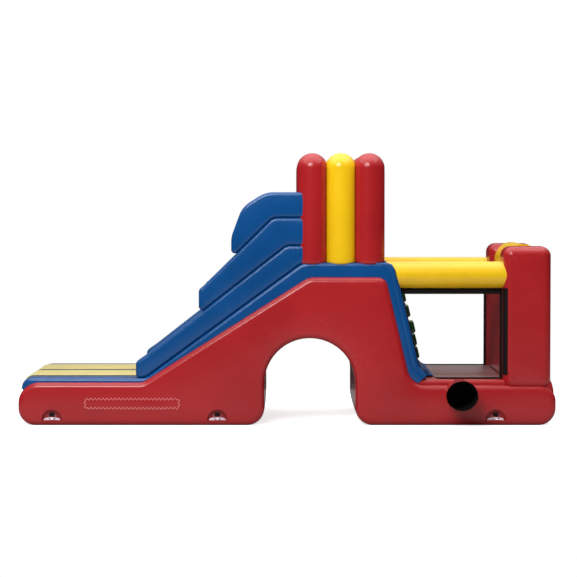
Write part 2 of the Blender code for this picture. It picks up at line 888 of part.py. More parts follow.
def make_holds():
    top_z = PLATFORM_HEIGHT + BED_HEAD
    stand = BED_CLIMB + PANEL_THICKNESS + RIB_RISE + 2 * CLEARANCE + HOLD_DEPTH / 2
    for index, (along, y) in enumerate(hold_places()):
        z = top_z - along * math.cos(CLIMB_LEAN)
        out_x = stand * math.cos(CLIMB_LEAN)
        out_z = stand * math.sin(CLIMB_LEAN)
        at = (climb_x(z) + out_x, y, z + out_z)
        size = (HOLD_DEPTH, HOLD_WIDTH, HOLD_HEIGHT)
        hold = box(f"hold_{index + 1}", size, at, HOLD_EDGE, 2, (0, -CLIMB_LEAN, 0))
        taper(hold)
        if along + HOLD_HEIGHT / 2 > climb_length():
            cut(hold, climb_space(f"hold_{index + 1}_bend"))
        finish(hold, GREEN)


def taper(hold):
    """Draws the outer face in, so that a foot finds a ledge."""
    for vert in hold.data.vertices:
        if vert.co.x > 0:
            vert.co.y *= HOLD_TAPER
            vert.co.z *= HOLD_TAPER


# Play end


def make_pillar_form(name, side, shrink):
    outline = rounded(
        [
            (PILLAR_START_X, BASE_HEIGHT, PILLAR_RADIUS),
            (PILLAR_START_X + PILLAR_LENGTH, BASE_HEIGHT, PILLAR_RADIUS),
            (PILLAR_START_X + PILLAR_LENGTH, PILLAR_TOP, PILLAR_RADIUS),
            (PILLAR_START_X, PILLAR_TOP, PILLAR_RADIUS),
        ]
    )
    pillar = plate(name, [outline], PILLAR_DEPTH - 2 * shrink, PILLAR_RIM, shrink, rim_steps=2)
    pillar.location.y = side * (HALF_WIDTH - PILLAR_DEPTH / 2)
    pillar.location.z = CLEARANCE
    return pillar


def pillar_space(name, side):
    return to_mesh(make_pillar_form(name, side, -CLEARANCE))


def make_pillars():
    for side_name, side in (("front", -1), ("back", 1)):
        finish(make_pillar_form(f"end_pillar_{side_name}", side, 0), RED)


def between_pillars():
    """Width of a piece that is cut to seat on both pillars."""
    return WIDTH - 2 * PILLAR_DEPTH + 2 * END_SEAT


def cut_by_pillars(obj):
    for side_name, side in (("front", -1), ("back", 1)):
        cut(obj, pillar_space(f"{obj.name}_pillar_{side_name}", side))
    return obj


def make_end_wall():
    low = BASE_HEIGHT + FLOOR_THICKNESS + RIB_RISE
    x0 = PILLAR_START_X
    x1 = PILLAR_START_X + END_WALL_LENGTH
    corners = [(x0, low), (x1, low), (x1, END_WALL_TOP), (x0, END_WALL_TOP)]
    outline = rounded([(*corner, 1.2 * END_WALL_RIM) for corner in corners])
    wall = to_mesh(plate("end_wall", [outline], between_pillars(), END_WALL_RIM, CLEARANCE))
    finish(cut_by_pillars(wall), RED)


def make_end_tube():
    x = PILLAR_START_X + PILLAR_LENGTH / 2
    z = END_WALL_TOP + END_TUBE_RADIUS
    name = "end_tube"
    length = between_pillars()
    bar = cylinder(name, END_TUBE_RADIUS, length, (x, 0, z), (math.pi / 2, 0, 0), 32)
    smooth(bar)
    finish(cut_by_pillars(bar), YELLOW)


def make_rails():
    start = climb_x(RAIL_HEIGHT - RAIL_RADIUS, BED_CLIMB / 4)
    end = PILLAR_START_X + 1.2 * PILLAR_RIM
    for side_name, side in (("front", -1), ("back", 1)):
        name = f"side_rail_{side_name}"
        at = ((start + end) / 2, side * (HALF_WIDTH - RAIL_INSET), RAIL_HEIGHT)
        rail = cylinder(name, RAIL_RADIUS, end - start, at, (0, math.pi / 2, 0), 32)
        smooth(rail)
        cut(rail, bed_space(f"{name}_bed"))
        cut(rail, pillar_space(f"{name}_pillar", side))
        finish(rail, YELLOW)


def window_edge(low, high):
    """The window's edge down the bed's line and over its toe to the pillar, between two heights."""
    x, z = bed_toe()
    return [
        (climb_x(high, BED_CLIMB), high, 0),
        (*toe_knee(), BED_TOE_FILLET),
        (x + (z - low) / BED_TOE_FALL, low, HEM_BEND),
        (PILLAR_START_X, low, 0),
    ]


def make_window_hems():
    floor = BASE_HEIGHT + FLOOR_THICKNESS
    top = RAIL_HEIGHT - RAIL_RADIUS
    outer = window_edge(floor, top)
    inner = offset_path(outer, HEM_FOOT)
    high = top - HEM_TOP
    right = PILLAR_START_X - HEM_SIDE
    inner[0] = (climb_x(high, BED_CLIMB + HEM_FOOT), high, 0)
    inner[-1] = (right, floor + HEM_FOOT, 0)
    outlines = [rounded_open(outer) + [(PILLAR_START_X, top)], rounded_open(inner) + [(right, high)]]
    for side_name, side in (("front", -1), ("back", 1)):
        hem = plate(f"window_hem_{side_name}", outlines, HEM_THICKNESS, shrink=CLEARANCE)
        hem.location.y = side * (HALF_WIDTH - RAIL_INSET)
        finish(hem, BLACK, 0.6)


# Inflation sleeve


def make_sleeve():
    root = -HALF_WIDTH + 1.5 * FLOOR_MARGIN
    mouth = -HALF_WIDTH - SLEEVE_REACH
    length = root - mouth
    outer = SLEEVE_RADIUS
    inner = outer - SLEEVE_WALL
    hem = outer + SLEEVE_WALL / 2
    profile = [
        (hem, length),
        (hem, length - SLEEVE_HEM),
        (outer, length - 1.2 * SLEEVE_HEM),
        (outer, 0),
        (inner, 0),
        (inner, length),
    ]
    mesh = bpy.data.meshes.new("inflation_sleeve")
    edges = [(i, (i + 1) % len(profile)) for i in range(len(profile))]
    mesh.from_pydata([(r, 0, z) for r, z in profile], edges, [])
    sleeve = bpy.data.objects.new("inflation_sleeve", mesh)
    PARTS.objects.link(sleeve)
    place(sleeve, (SLEEVE_X, root, SLEEVE_HEIGHT), (math.pi / 2, 0, 0))
    screw = sleeve.modifiers.new("turn", "SCREW")
    screw.steps = 32
    screw.render_steps = 32
    screw.use_merge_vertices = True
    screw.merge_threshold = 0.00005
    cut(sleeve, body_space("sleeve_seat"))
    cut(sleeve, floor_space())
    finish(sleeve, RED)


def floor_space():
    """The play floor's form with the clearance round it."""
    reach = SLEEVE_RADIUS + CUT_PAST
    path = [(SLEEVE_X - reach, BASE_HEIGHT, 1.0), (SLEEVE_X + reach, BASE_HEIGHT, 1.0)]
    return sweep("sleeve_floor_seat", floor_section(CLEARANCE), path)


# Anchors


def anchor_places():
    return [(x, side) for side in (-1, 1) for x in ANCHOR_XS]


def tab_loop():
    """(outer radius, hole radius) of the loop that holds the ring's bar."""
    hole = RING_WIRE + RING_PLAY
    return hole + TAB_THICKNESS, hole


def ring_y():
    """Distance of a ring's bar from the middle of the width."""
    return HALF_WIDTH - NICHE_DEPTH + CLEARANCE + tab_loop()[0]


def tab_outline(side):
    """A strip up the niche's back wall that ends below in a loop round the ring's bar."""
    outer, hole = tab_loop()
    back = HALF_WIDTH - NICHE_DEPTH + CLEARANCE
    meet = math.acos((outer - TAB_THICKNESS) / outer)
    top = RING_HEIGHT + TAB_LENGTH
    points = [(back, top)]
    steps = 14
    for k in range(steps + 1):
        angle = math.pi + (2 * math.pi - meet) * k / steps
        points.append((back + outer + outer * math.cos(angle), RING_HEIGHT + outer * math.sin(angle)))
    points.append((back + TAB_THICKNESS, top))
    return [(side * y, z) for y, z in points]


def make_anchor(index, x, side):
    y = side * ring_y()
    hole = circle((y, RING_HEIGHT), tab_loop()[1], 12)
    tab = plate(f"anchor_tab_{index}", [tab_outline(side), hole], TAB_WIDTH, plane="YZ")
    tab.location.x = x
    finish(tab, BLACK, 0.6)
    half = RING_WIDTH / 2
    steps = 12
    points = [
        (half * math.cos(math.pi * k / steps), 0, -RING_DROP * math.sin(math.pi * k / steps))
        for k in range(steps + 1)
    ]
    ring = tube(f"anchor_ring_{index}", points, RING_WIRE, 1, cyclic=True)
    ring.location = (x, y, RING_HEIGHT)
    finish(ring, STEEL, 0.25, 1.0)


def make_anchors():
    for index, (x, side) in enumerate(anchor_places()):
        make_anchor(index + 1, x, side)


# Air release zip


def make_zip():
    back = -HALF_WIDTH + POCKET_DEPTH
    tape_y = back - CLEARANCE - ZIP_TAPE_THICKNESS / 2
    play = 4 * CLEARANCE
    tape_size = (POCKET_LENGTH - play, ZIP_TAPE_THICKNESS, POCKET_HEIGHT - play)
    finish(box("zip_tape", tape_size, (ZIP_X, tape_y, ZIP_HEIGHT)), BLACK, 0.6)
    slider_y = tape_y - ZIP_TAPE_THICKNESS / 2 - CLEARANCE - SLIDER_THICKNESS / 2
    slider_x = ZIP_X - POCKET_LENGTH / 2 + SLIDER_LENGTH
    slider_size = (SLIDER_LENGTH, SLIDER_THICKNESS, SLIDER_HEIGHT)
    slider = box("zip_slider", slider_size, (slider_x, slider_y, ZIP_HEIGHT), 0.002)
    finish(slider, STEEL, 0.3, 1.0)


def make_flap():
    """The cover flap, with its origin on the fold along its upper edge."""
    radius = FLAP_THICKNESS / 2
    low = -FLAP_HEIGHT + radius
    corners = [(-radius, radius), (-radius, low), (radius, low), (radius, radius)]
    outline = rounded([(*corner, 0.9 * radius) for corner in corners], math.radians(30))
    flap = plate("zip_flap", [outline], FLAP_LENGTH, plane="YZ")
    flap.location = (ZIP_X, -HALF_WIDTH - CLEARANCE - radius, ZIP_HEIGHT + FLAP_HEIGHT / 2 - radius)
    finish(flap, RED)


make_main_body()
make_inner_webs()
make_slide_bed()
make_lanes()
make_side_walls()
make_columns()
make_climbing_wall()
make_play_floor()
make_holds()
make_pillars()
make_end_wall()
make_end_tube()
make_rails()
make_window_hems()
make_sleeve()
make_anchors()
make_zip()
make_flap()
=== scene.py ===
# %% [markdown]
# # An inflatable slide, dressed for the studio
#
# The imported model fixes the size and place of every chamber, ring and zip. This lesson puts the looks on
# it: tight, glossy, air-filled vinyl with its seams and puckers, webbing, steel rings, and a plain white
# studio. Everything is in metres, and every new piece rides on the body of the model that it belongs to.

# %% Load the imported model
import math

import bmesh
import bpy
import numpy as np
from mathutils import Matrix, Vector, geometry, noise


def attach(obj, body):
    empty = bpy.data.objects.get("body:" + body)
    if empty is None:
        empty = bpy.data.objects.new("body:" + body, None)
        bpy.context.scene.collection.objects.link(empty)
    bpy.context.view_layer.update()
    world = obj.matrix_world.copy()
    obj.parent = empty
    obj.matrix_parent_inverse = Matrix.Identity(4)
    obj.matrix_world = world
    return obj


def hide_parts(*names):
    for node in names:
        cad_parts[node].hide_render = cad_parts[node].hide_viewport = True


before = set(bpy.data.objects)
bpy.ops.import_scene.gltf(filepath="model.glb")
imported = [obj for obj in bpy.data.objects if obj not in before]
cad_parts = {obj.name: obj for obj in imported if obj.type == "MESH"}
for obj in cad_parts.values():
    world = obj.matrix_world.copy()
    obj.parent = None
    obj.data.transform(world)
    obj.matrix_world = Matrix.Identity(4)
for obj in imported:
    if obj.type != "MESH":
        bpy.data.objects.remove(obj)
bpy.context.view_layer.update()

# %% [markdown]
# ## The slide's own lines
#
# Most of the chambers are flat panels cut to one side view and joined by a long strip, so a side view with
# rounded corners is the best place to start. X is measured here from the middle of the slide's length, as
# its maker would lay it out on the table, and the model's own origin lies further along, under the play
# floor.

# %% Driving sizes
LENGTH = 5.0
HALF_WIDTH = 1.0
ORIGIN_X = 1.40
BASE_HEIGHT = 0.379
END_RADIUS = 0.16
RIM = 0.06
RAMP_FOOT_X = -1.332
RAMP_HEAD_X = 0.210
PLATFORM_HEIGHT = 1.356
CLIMB_HEAD_X = 0.925
CLIMB_LEAN = math.radians(13.3)
RAMP_RADIUS = 0.15
PLATFORM_RADIUS = 0.10
FOOT_FILLET = 0.12
CLIMB_FILLET = 0.16
TUNNEL_X = 0.213
TUNNEL_RADIUS = 0.424
TUNNEL_SPRING = 0.385
TUNNEL_FOOT_RADIUS = 0.16
BODY = "slide_body"
SIDES = {"front": -1, "back": 1}


def climb_x(z, offset=0.0):
    """X of the climbing side's line at a height, moved outwards by an offset."""
    head = CLIMB_HEAD_X + offset / math.cos(CLIMB_LEAN)
    return head + (PLATFORM_HEIGHT - z) * math.tan(CLIMB_LEAN)


print("the climbing side meets the play floor at", round(climb_x(BASE_HEIGHT), 3))

# %% [markdown]
# ## Outlines that can shrink
#
# A rounded rim is a stack of the same outline, each copy a little smaller and a little further out. For the
# copies to join up they need the same number of points, so an outline here plans its points once and can
# then be drawn at any inset: outer corners get a smaller radius as it shrinks and inner corners a larger
# one.


# %% Outline class
TURN_STEP = math.radians(7.5)
SMALLEST_RADIUS = 0.0002


def flat_normal(direction):
    return Vector((-direction.y, direction.x))


def moved_corners(corners, inset):
    """Corners (x, z, radius) of a closed anticlockwise line moved inwards, with their radii kept parallel."""
    moved = []
    count = len(corners)
    for i, (x, z, radius) in enumerate(corners):
        here = Vector((x, z))
        into = (here - Vector(corners[i - 1][:2])).normalized()
        out = (Vector(corners[(i + 1) % count][:2]) - here).normalized()
        sides = flat_normal(into) + flat_normal(out)
        shift = sides * inset / (1 + flat_normal(into).dot(flat_normal(out)))
        bend = into.x * out.y - into.y * out.x
        kept = radius - inset if bend > 0 else radius + inset
        moved.append((x + shift.x, z + shift.y, max(kept, SMALLEST_RADIUS) if radius > 0 else 0.0))
    return moved


def corner_arc(corners, i):
    """Start, centre and turn of corner i's arc."""
    x, z, radius = corners[i]
    corner = Vector((x, z))
    before = (Vector(corners[i - 1][:2]) - corner).normalized()
    after = (Vector(corners[(i + 1) % len(corners)][:2]) - corner).normalized()
    half = before.angle(after) / 2
    centre = corner + (before + after).normalized() * radius / math.sin(half)
    first = corner + before * radius / math.tan(half)
    turn = math.pi - 2 * half
    turn *= 1 if before.x * after.y - before.y * after.x < 0 else -1
    return first, centre, turn


def arc_points(corners, i, steps):
    """The points of corner i's arc, or the corner itself where it has no steps."""
    if not steps:
        return [Vector(corners[i][:2])]
    first, centre, turn = corner_arc(corners, i)
    points = []
    for k in range(steps + 1):
        spoke = first - centre
        spoke.rotate(Matrix.Rotation(turn * k / steps, 2))
        points.append(centre + spoke)
    return points


class Outline:
    """A closed side view that is planned once and drawn at any inset with the same number of points."""

    def __init__(self, corners, spacing):
        self.corners = corners
        self.arcs = []
        self.runs = []
        count = len(corners)
        for i in range(count):
            arc_steps = 0
            if corners[i][2] > 0:
                turn = corner_arc(corners, i)[2]
                arc_steps = max(2, math.ceil(abs(turn) / TURN_STEP))
            self.arcs.append(arc_steps)
        groups = self.groups(corners)
        for i in range(count):
            gap = groups[(i + 1) % count][0] - groups[i][-1]
            self.runs.append(max(1, round(gap.length / spacing)))

    def groups(self, corners):
        return [arc_points(corners, i, steps) for i, steps in enumerate(self.arcs)]

    def ring(self, inset=0.0):
        groups = self.groups(moved_corners(self.corners, inset))
        count = len(groups)
        points = []
        for i, group in enumerate(groups):
            points += group
            start = group[-1]
            end = groups[(i + 1) % count][0]
            points += [start.lerp(end, k / self.runs[i]) for k in range(1, self.runs[i])]
        return np.array([tuple(p) for p in points])


square = Outline([(0, 0, 0.1), (1, 0, 0.1), (1, 1, 0.1), (0, 1, 0.1)], 0.2)
print("a rounded square has", len(square.ring()), "points at any inset:", len(square.ring(0.05)))

# %% [markdown]
# ## Shader maths as Python
#
# A material is easier to read as a sum than as a list of links. This small class wraps a socket, so that
# 0.3 + 0.1 * mask adds the Math nodes by itself. Every other node comes from one method that takes the
# node's type, its settings, and the values or links of its sockets.


# %% Socket class and node method
class Socket:
    def __init__(self, tree, socket):
        self.tree = tree
        self.socket = socket

    def join(self, operation, first, second):
        node = self.tree.nodes.new("ShaderNodeMath")
        node.operation = operation
        for slot, value in zip(node.inputs, (first, second)):
            if isinstance(value, Socket):
                self.tree.links.new(value.socket, slot)
            else:
                slot.default_value = value
        return Socket(self.tree, node.outputs[0])

    def __add__(self, other):
        return self.join("ADD", self, other)

    def __radd__(self, other):
        return self.join("ADD", other, self)

    def __sub__(self, other):
        return self.join("SUBTRACT", self, other)

    def __rsub__(self, other):
        return self.join("SUBTRACT", other, self)

    def __mul__(self, other):
        return self.join("MULTIPLY", self, other)

    def __rmul__(self, other):
        return self.join("MULTIPLY", other, self)

    def __pow__(self, other):
        return self.join("POWER", self, other)


class Nodes:
    """A node tree with one method for any node."""

    def __init__(self, tree):
        self.tree = tree

    def node(self, kind, settings=(), inputs=(), output=0):
        node = self.tree.nodes.new(kind)
        for key, value in dict(settings).items():
            if key == "stops":
                self.set_stops(node.color_ramp, value)
            else:
                setattr(node, key, value)
        for key, value in dict(inputs).items():
            self.feed(node.inputs[key], value)
        return Socket(self.tree, node.outputs[output])

    def set_stops(self, ramp, stops):
        while len(ramp.elements) < len(stops):
            ramp.elements.new(0.5)
        for element, (at, colour) in zip(ramp.elements, stops):
            element.position = at
            element.color = (*colour, 1.0) if len(colour) == 3 else colour

    def feed(self, slot, value):
        if isinstance(value, Socket):
            self.tree.links.new(value.socket, slot)
        else:
            slot.default_value = value


class Finish(Nodes):
    """A material with its record slot and its shader."""

    def __init__(self, name, slot):
        self.material = bpy.data.materials.new(name)
        self.material.use_nodes = True
        self.slot = slot
        super().__init__(self.material.node_tree)
        self.shader = self.tree.nodes["Principled BSDF"]

    def set(self, **inputs):
        for key, value in inputs.items():
            self.feed(self.shader.inputs[key.replace("_", " ")], value)
        return self

    def place(self):
        return self.node("ShaderNodeTexCoord", output=3)

    def noise(self, scale, detail=2.0, roughness=0.5):
        inputs = {"Vector": self.place(), "Scale": scale, "Detail": detail, "Roughness": roughness}
        return self.node("ShaderNodeTexNoise", inputs=inputs)

    def blend(self, factor, first, second):
        """One colour or the other, by a factor."""
        settings = {"data_type": "RGBA"}
        inputs = {0: factor, 6: first, 7: second}
        return self.node("ShaderNodeMix", settings, inputs, output=2)


print("a finish takes sums such as 0.3 + 0.1 * noise")

# %% [markdown]
# ## Coated fabric
#
# The chambers are polyester cloth coated with PVC. From a few steps away it looks like glossy paint with
# slow, shallow ripples, because air pulls the cloth tight but never quite even. Close up the threads of the
# cloth show through the coating as a fine square grid. The colour is the coating's own, so it varies very
# little: a slow mottling, and a faint paler bloom where the coating has been folded. All of that is one
# function of a colour, because every chamber is cut from the same cloth. Two colours made this way carry
# painted light: the runners are paled as painted sheen, and the niches' dark red is painted shade.


# %% Vinyl finishes
DEEP = 0.90
PALE = 1.08
THREADS_PER_METRE = 640.0
BANDS_PER_SCALE = 20.0


def vinyl(name, slot, colour, gloss=0.25):
    """Coated cloth: mottled colour, broken gloss, and a bump of ripples and threads."""
    made = Finish(name, slot)
    slow = made.noise(1.7, 3.0, 0.55)
    fine = made.noise(38.0, 4.0, 0.6)
    dark = tuple(c * DEEP for c in colour)
    light = tuple(min(1.0, c * PALE) for c in colour)
    mottled = made.node(
        "ShaderNodeValToRGB", {"stops": [(0.32, dark), (0.52, colour), (0.75, light)]}, {"Fac": slow}
    )
    rough = gloss - 0.05 + 0.07 * slow + 0.04 * fine
    threads = thread_grid(made)
    ripples = made.noise(5.5, 2.0, 0.45)
    height = 0.006 * ripples + 0.00025 * fine + 0.00008 * threads
    bump = made.node("ShaderNodeBump", inputs={"Height": height, "Distance": 1.0, "Strength": 0.45})
    made.set(Base_Color=mottled, Roughness=rough, Normal=bump, IOR=1.45, Specular_IOR_Level=0.5)
    return made


def thread_grid(made):
    """The square grid of the base cloth, seen through its coating."""
    waves = []
    for way in ("X", "Y", "Z"):
        settings = {"wave_type": "BANDS", "bands_direction": way}
        inputs = {"Vector": made.place(), "Scale": THREADS_PER_METRE / BANDS_PER_SCALE}
        waves.append(made.node("ShaderNodeTexWave", settings, inputs, output=1))
    return waves[0] + waves[1] + waves[2]


RED = vinyl("red_coated_fabric", "red_vinyl", (0.375, 0.012, 0.015))
BLUE = vinyl("blue_coated_fabric", "blue_vinyl", (0.0, 0.062, 0.225))
YELLOW = vinyl("yellow_coated_fabric", "yellow_vinyl", (0.82, 0.50, 0.006))
GREEN = vinyl("green_coated_fabric", "green_vinyl", (0.003, 0.055, 0.003))
# The runners' own yellow, paled towards white as painted sheen of the bright studio seen at a low angle.
LANE = vinyl("yellow_runner_painted_sheen", "yellow_vinyl", (0.60, 0.49, 0.17), gloss=0.40)
TREAD = vinyl("dull_tread_fabric", "red_vinyl", (0.120, 0.028, 0.028), gloss=0.30)
# Dark red for the niches' walls: painted shade in the recesses.
SHADED = vinyl("shaded_recess", "red_vinyl", (0.300, 0.002, 0.006), gloss=0.30)
print("made vinyl in", RED.slot, BLUE.slot, YELLOW.slot, "and", GREEN.slot)

# %% [markdown]
# Webbing is woven nylon: matte, nearly black, with a diagonal weave that only shows in the bump. The rings
# are zinc-plated steel wire with a soft, slightly uneven shine. The sleeve's inside is painted near-black, as
# painted shade for the tube's dark depth.


# %% Webbing, steel and the sleeve's painted shade
def webbing(name, slot, colour, weave=900.0):
    """Woven cloth: a diagonal twill in the bump, and a worn, uneven tone."""
    made = Finish(name, slot)
    settings = {"wave_type": "BANDS", "bands_direction": "DIAGONAL"}
    inputs = {"Vector": made.place(), "Scale": weave / BANDS_PER_SCALE}
    twill = made.node("ShaderNodeTexWave", settings, inputs, output=1)
    worn = made.noise(60.0, 4.0)
    rubbed = [1.8 * c for c in colour]
    tone = made.blend(0.25 * twill + 0.35 * worn, (*colour, 1.0), (*rubbed, 1.0))
    bump = made.node("ShaderNodeBump", inputs={"Height": 0.0004 * twill, "Distance": 1.0, "Strength": 0.8})
    made.set(Base_Color=tone, Roughness=0.70 + 0.15 * worn, Normal=bump, Specular_IOR_Level=0.2)
    return made


def plated_steel():
    made = Finish("plated_steel", "ring_steel")
    spots = made.noise(240.0, 3.0)
    tone = made.blend(spots, (0.66, 0.67, 0.70, 1.0), (0.80, 0.81, 0.82, 1.0))
    bump = made.node("ShaderNodeBump", inputs={"Height": 0.00005 * spots, "Distance": 1.0, "Strength": 0.6})
    made.set(Base_Color=tone, Roughness=0.18 + 0.16 * spots, Normal=bump, Metallic=1.0)
    return made


# Black webbing cloth. The same black is also painted shade on the pillars' rims and in the air port.
BLACK = webbing("black_webbing_and_painted_shade", "black_webbing", (0.0040, 0.0022, 0.0022))
# The sleeve's inside: near-black, painted shade for the tube's dark depth.
SLEEVE_SHADE = webbing("sleeve_inside_painted_shade", "red_vinyl", (0.0030, 0.0012, 0.0012), 1200.0)
STEEL = plated_steel()
# A pale crescent behind each ring: painted highlight where the niche's lower lip catches the light.
LIP_HIGHLIGHT = webbing("anchor_lip_painted_highlight", "ring_steel", (0.75, 0.62, 0.68), 60.0)
THREAD = webbing("pale_stitching_thread", "red_vinyl", (0.60, 0.17, 0.18), 2400.0)
print("made", BLACK.material.name, STEEL.material.name, "and", THREAD.material.name)

# %% [markdown]
# ## From numbers to a piece
#
# Every shape below ends in the same call. It makes the mesh, moves it from the maker's X to the model's
# origin, smooths it, gives it its finish, sets it riding on its body and says which plain solids it stands
# for.


# %% Piece maker
def placed(name, data):
    """A new object of that data, linked to the scene."""
    thing = bpy.data.objects.new(name, data)
    bpy.context.scene.collection.objects.link(thing)
    return thing


def add_piece(name, verts, faces, finish, stands_for=(), body=BODY, sharp=50.0):
    mesh = bpy.data.meshes.new(name)
    mesh.from_pydata([(x - ORIGIN_X, y, z) for x, y, z in verts], [], [tuple(f) for f in faces])
    mesh.validate()
    work = bmesh.new()
    work.from_mesh(mesh)
    bmesh.ops.recalc_face_normals(work, faces=work.faces)
    work.to_mesh(mesh)
    work.free()
    mesh.shade_smooth()
    mesh.set_sharp_from_angle(angle=math.radians(sharp))
    piece = placed(name, mesh)
    mesh.materials.append(finish.material)
    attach(piece, body)
    if stands_for:
        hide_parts(*stands_for)
    return piece


def bridge(rings):
    """Faces between rings of equal length, given as ranges of vertex numbers."""
    faces = []
    for low, high in zip(rings, rings[1:]):
        count = len(low)
        for k in range(count):
            after = (k + 1) % count
            faces.append((low[k], low[after], high[after], high[k]))
    return faces


def capped(rings):
    """The faces between the rings, with a flat face at each end."""
    return bridge(rings) + [tuple(rings[0])[::-1], tuple(rings[-1])]


def stacked(rows):
    """All points of rows of equal length, and each row as a ring of vertex numbers."""
    steps = len(rows[0])
    verts = [point for row in rows for point in row]
    return verts, [range(k * steps, (k + 1) * steps) for k in range(len(rows))]


print("a piece is verts and faces, a finish, a body and the solids it stands for")

# %% [markdown]
# ## A panelled chamber
#
# A chamber with flat sides is two side panels and a strip sewn between them. Air rounds the strip's edges
# and crowns the panels a little. The mesh follows that: rings of the outline run across the width, roll
# over the rim, and carry on into the side panel, and a triangle mesh with a lattice of inner points fills
# the middle, so that the panel can swell. Every vertex remembers how far it is from the seam and how far
# along it, and two things use that: the stitching draws the seam in by a few millimetres, and puckers fan
# out from it and fade away.

# %% Puckers and panel filling
SEAM_DEPTH = 0.0008
SEAM_REACH = 0.010
PUCKER_PITCH = 0.055
PUCKER_REACH = 0.028


def seam_offset(along, away, pucker, seed):
    """How far the cloth stands in or out near a seam."""
    drawn = -SEAM_DEPTH * np.exp(-((away / SEAM_REACH) ** 2))
    wave = np.array([noise.noise((s / PUCKER_PITCH, seed, 0.0)) for s in along])
    slow = np.array([noise.noise((s / (6 * PUCKER_PITCH), seed, 7.0)) for s in along])
    fan = pucker * wave * (0.7 + slow) * np.exp(-away / PUCKER_REACH)
    return drawn + fan


def along_line(line):
    """How far along a closed line each of its points is, with the step to the next point and its length."""
    step = np.roll(line, -1, axis=0) - line
    lengths = np.linalg.norm(step, axis=1)
    return np.concatenate([[0], np.cumsum(lengths)[:-1]]), step, lengths


def nearest_on_line(points, line):
    """Distance of each point from a closed line, and how far along the line its nearest point is."""
    best = np.full(len(points), math.inf)
    along = np.zeros(len(points))
    for a, s, d, size in zip(line, *along_line(line)):
        if size == 0:
            continue
        share = np.clip(((points - a) @ d) / size**2, 0, 1)
        gap = np.linalg.norm(points - (a + share[:, None] * d), axis=1)
        closer = gap < best
        best = np.where(closer, gap, best)
        along = np.where(closer, s + share * size, along)
    return best, along


def panel_filling(line, lattice):
    """Points and triangles inside a closed line, with a lattice of inner points."""
    low = line.min(0)
    high = line.max(0)
    rows = []
    count_z = max(1, int((high[1] - low[1]) / (lattice * 0.87)))
    for j in range(count_z + 1):
        z = low[1] + j * (high[1] - low[1]) / count_z
        shift = lattice / 2 if j % 2 else 0.0
        xs = np.arange(low[0] + shift, high[0], lattice)
        rows.append(np.stack([xs, np.full(len(xs), z)], axis=1))
    grid = np.concatenate(rows)
    gap, _ = nearest_on_line(grid, line)
    grid = grid[gap > 0.45 * lattice]
    count = len(line)
    edges = [(i, (i + 1) % count) for i in range(count)]
    points = [Vector(p) for p in line] + [Vector(p) for p in grid]
    found, _, triangles, origins, _, _ = geometry.delaunay_2d_cdt(points, edges, [], 1, 1e-7)
    inner = {}
    extra = []
    for i, source in enumerate(origins):
        if source and min(source) < count:
            inner[i] = min(source)
        else:
            inner[i] = count + len(extra)
            extra.append(tuple(found[i]))
    return np.array(extra).reshape(-1, 2), [tuple(inner[i] for i in t) for t in triangles]


print("the lattice leaves room beside the line, so no sliver is made there")

# %% Panelled chamber
RIM_TURNS = [math.radians(a) for a in (14, 28, 42, 56, 70, 81)]
BORDERS = (0.006, 0.016, 0.034, 0.060)
SPACING = 0.025
ACROSS = 0.06
CROWN_REACH = 0.25


def crowned(crown, reach, gap):
    """How far a side panel swells out at a distance from its seam."""
    return crown * (1 - (1 - np.clip(gap / reach, 0, 1)) ** 2)


def chamber_sections(half, rim, swell, borders):
    """(inset, y, distance from the seam) of every ring, from one side panel over the strip to the other."""
    span = half - rim
    strip = []
    for y in np.linspace(-span, span, max(4, int(2 * span / ACROSS)) + 1):
        strip.append((-swell * (1 - (y / span) ** 2), y, rim * math.pi / 2 + span - abs(y)))
    far = [(rim * (1 - math.cos(t)), span + rim * math.sin(t), rim * (math.pi / 2 - t)) for t in RIM_TURNS]
    far.append((rim, half, 0.0))
    far += [(rim + border, half, border) for border in borders]
    near = [(inset, -y, gap) for inset, y, gap in reversed(far)]
    return near + strip + far


def chamber(
    name, corners, width, rim, finish, stands_for, at_y=0.0, crown=0.006, crown_reach=CROWN_REACH,
    swell=0.004, pucker=0.0012, border=1.0, lattice=0.06, floor=-math.inf, seed=1.0,
):
    """A panelled chamber: its side view, its whole width, and the radius of its rim."""
    shape = Outline(corners, SPACING)
    half = width / 2
    borders = [border * b for b in BORDERS]
    rows = []
    away = []
    for inset, y, gap in chamber_sections(half, rim, swell, borders):
        lift = math.copysign(crowned(crown, crown_reach, inset - rim), y)
        rows.append([(x, y + lift, z) for x, z in shape.ring(inset)])
        away += [gap] * len(rows[-1])
    verts, rings = stacked(rows)
    along = list(along_line(shape.ring())[0]) * len(rows)
    faces = bridge(rings)
    extra, triangles = panel_filling(shape.ring(rim + borders[-1]), lattice)
    gap, place = nearest_on_line(extra, shape.ring(rim))
    lift = crowned(crown, crown_reach, gap)
    count = len(rings[0])
    for side, ring in ((-1, rings[0]), (1, rings[-1])):
        first = len(verts) - count
        verts += [(x, side * (half + up), z) for (x, z), up in zip(extra, lift)]
        along += list(place)
        away += list(gap)
        for t in triangles:
            faces.append(tuple(ring[i] if i < count else first + i for i in t))
    verts = np.array(verts)
    offset = seam_offset(np.array(along), np.array(away), pucker, seed)
    verts += vertex_normals(verts, faces) * offset[:, None]
    verts[:, 2] = np.maximum(verts[:, 2], floor)
    verts[:, 1] += at_y
    return add_piece(name, verts, faces, finish, stands_for)


def vertex_normals(verts, faces):
    mesh = bpy.data.meshes.new("measure")
    mesh.from_pydata([tuple(v) for v in verts], [], faces)
    work = bmesh.new()
    work.from_mesh(mesh)
    bmesh.ops.recalc_face_normals(work, faces=work.faces)
    work.normal_update()
    normals = np.array([tuple(v.normal) for v in work.verts])
    work.free()
    bpy.data.meshes.remove(mesh)
    return normals


print("a rim has", len(RIM_TURNS), "rings between its strip and its side panel")
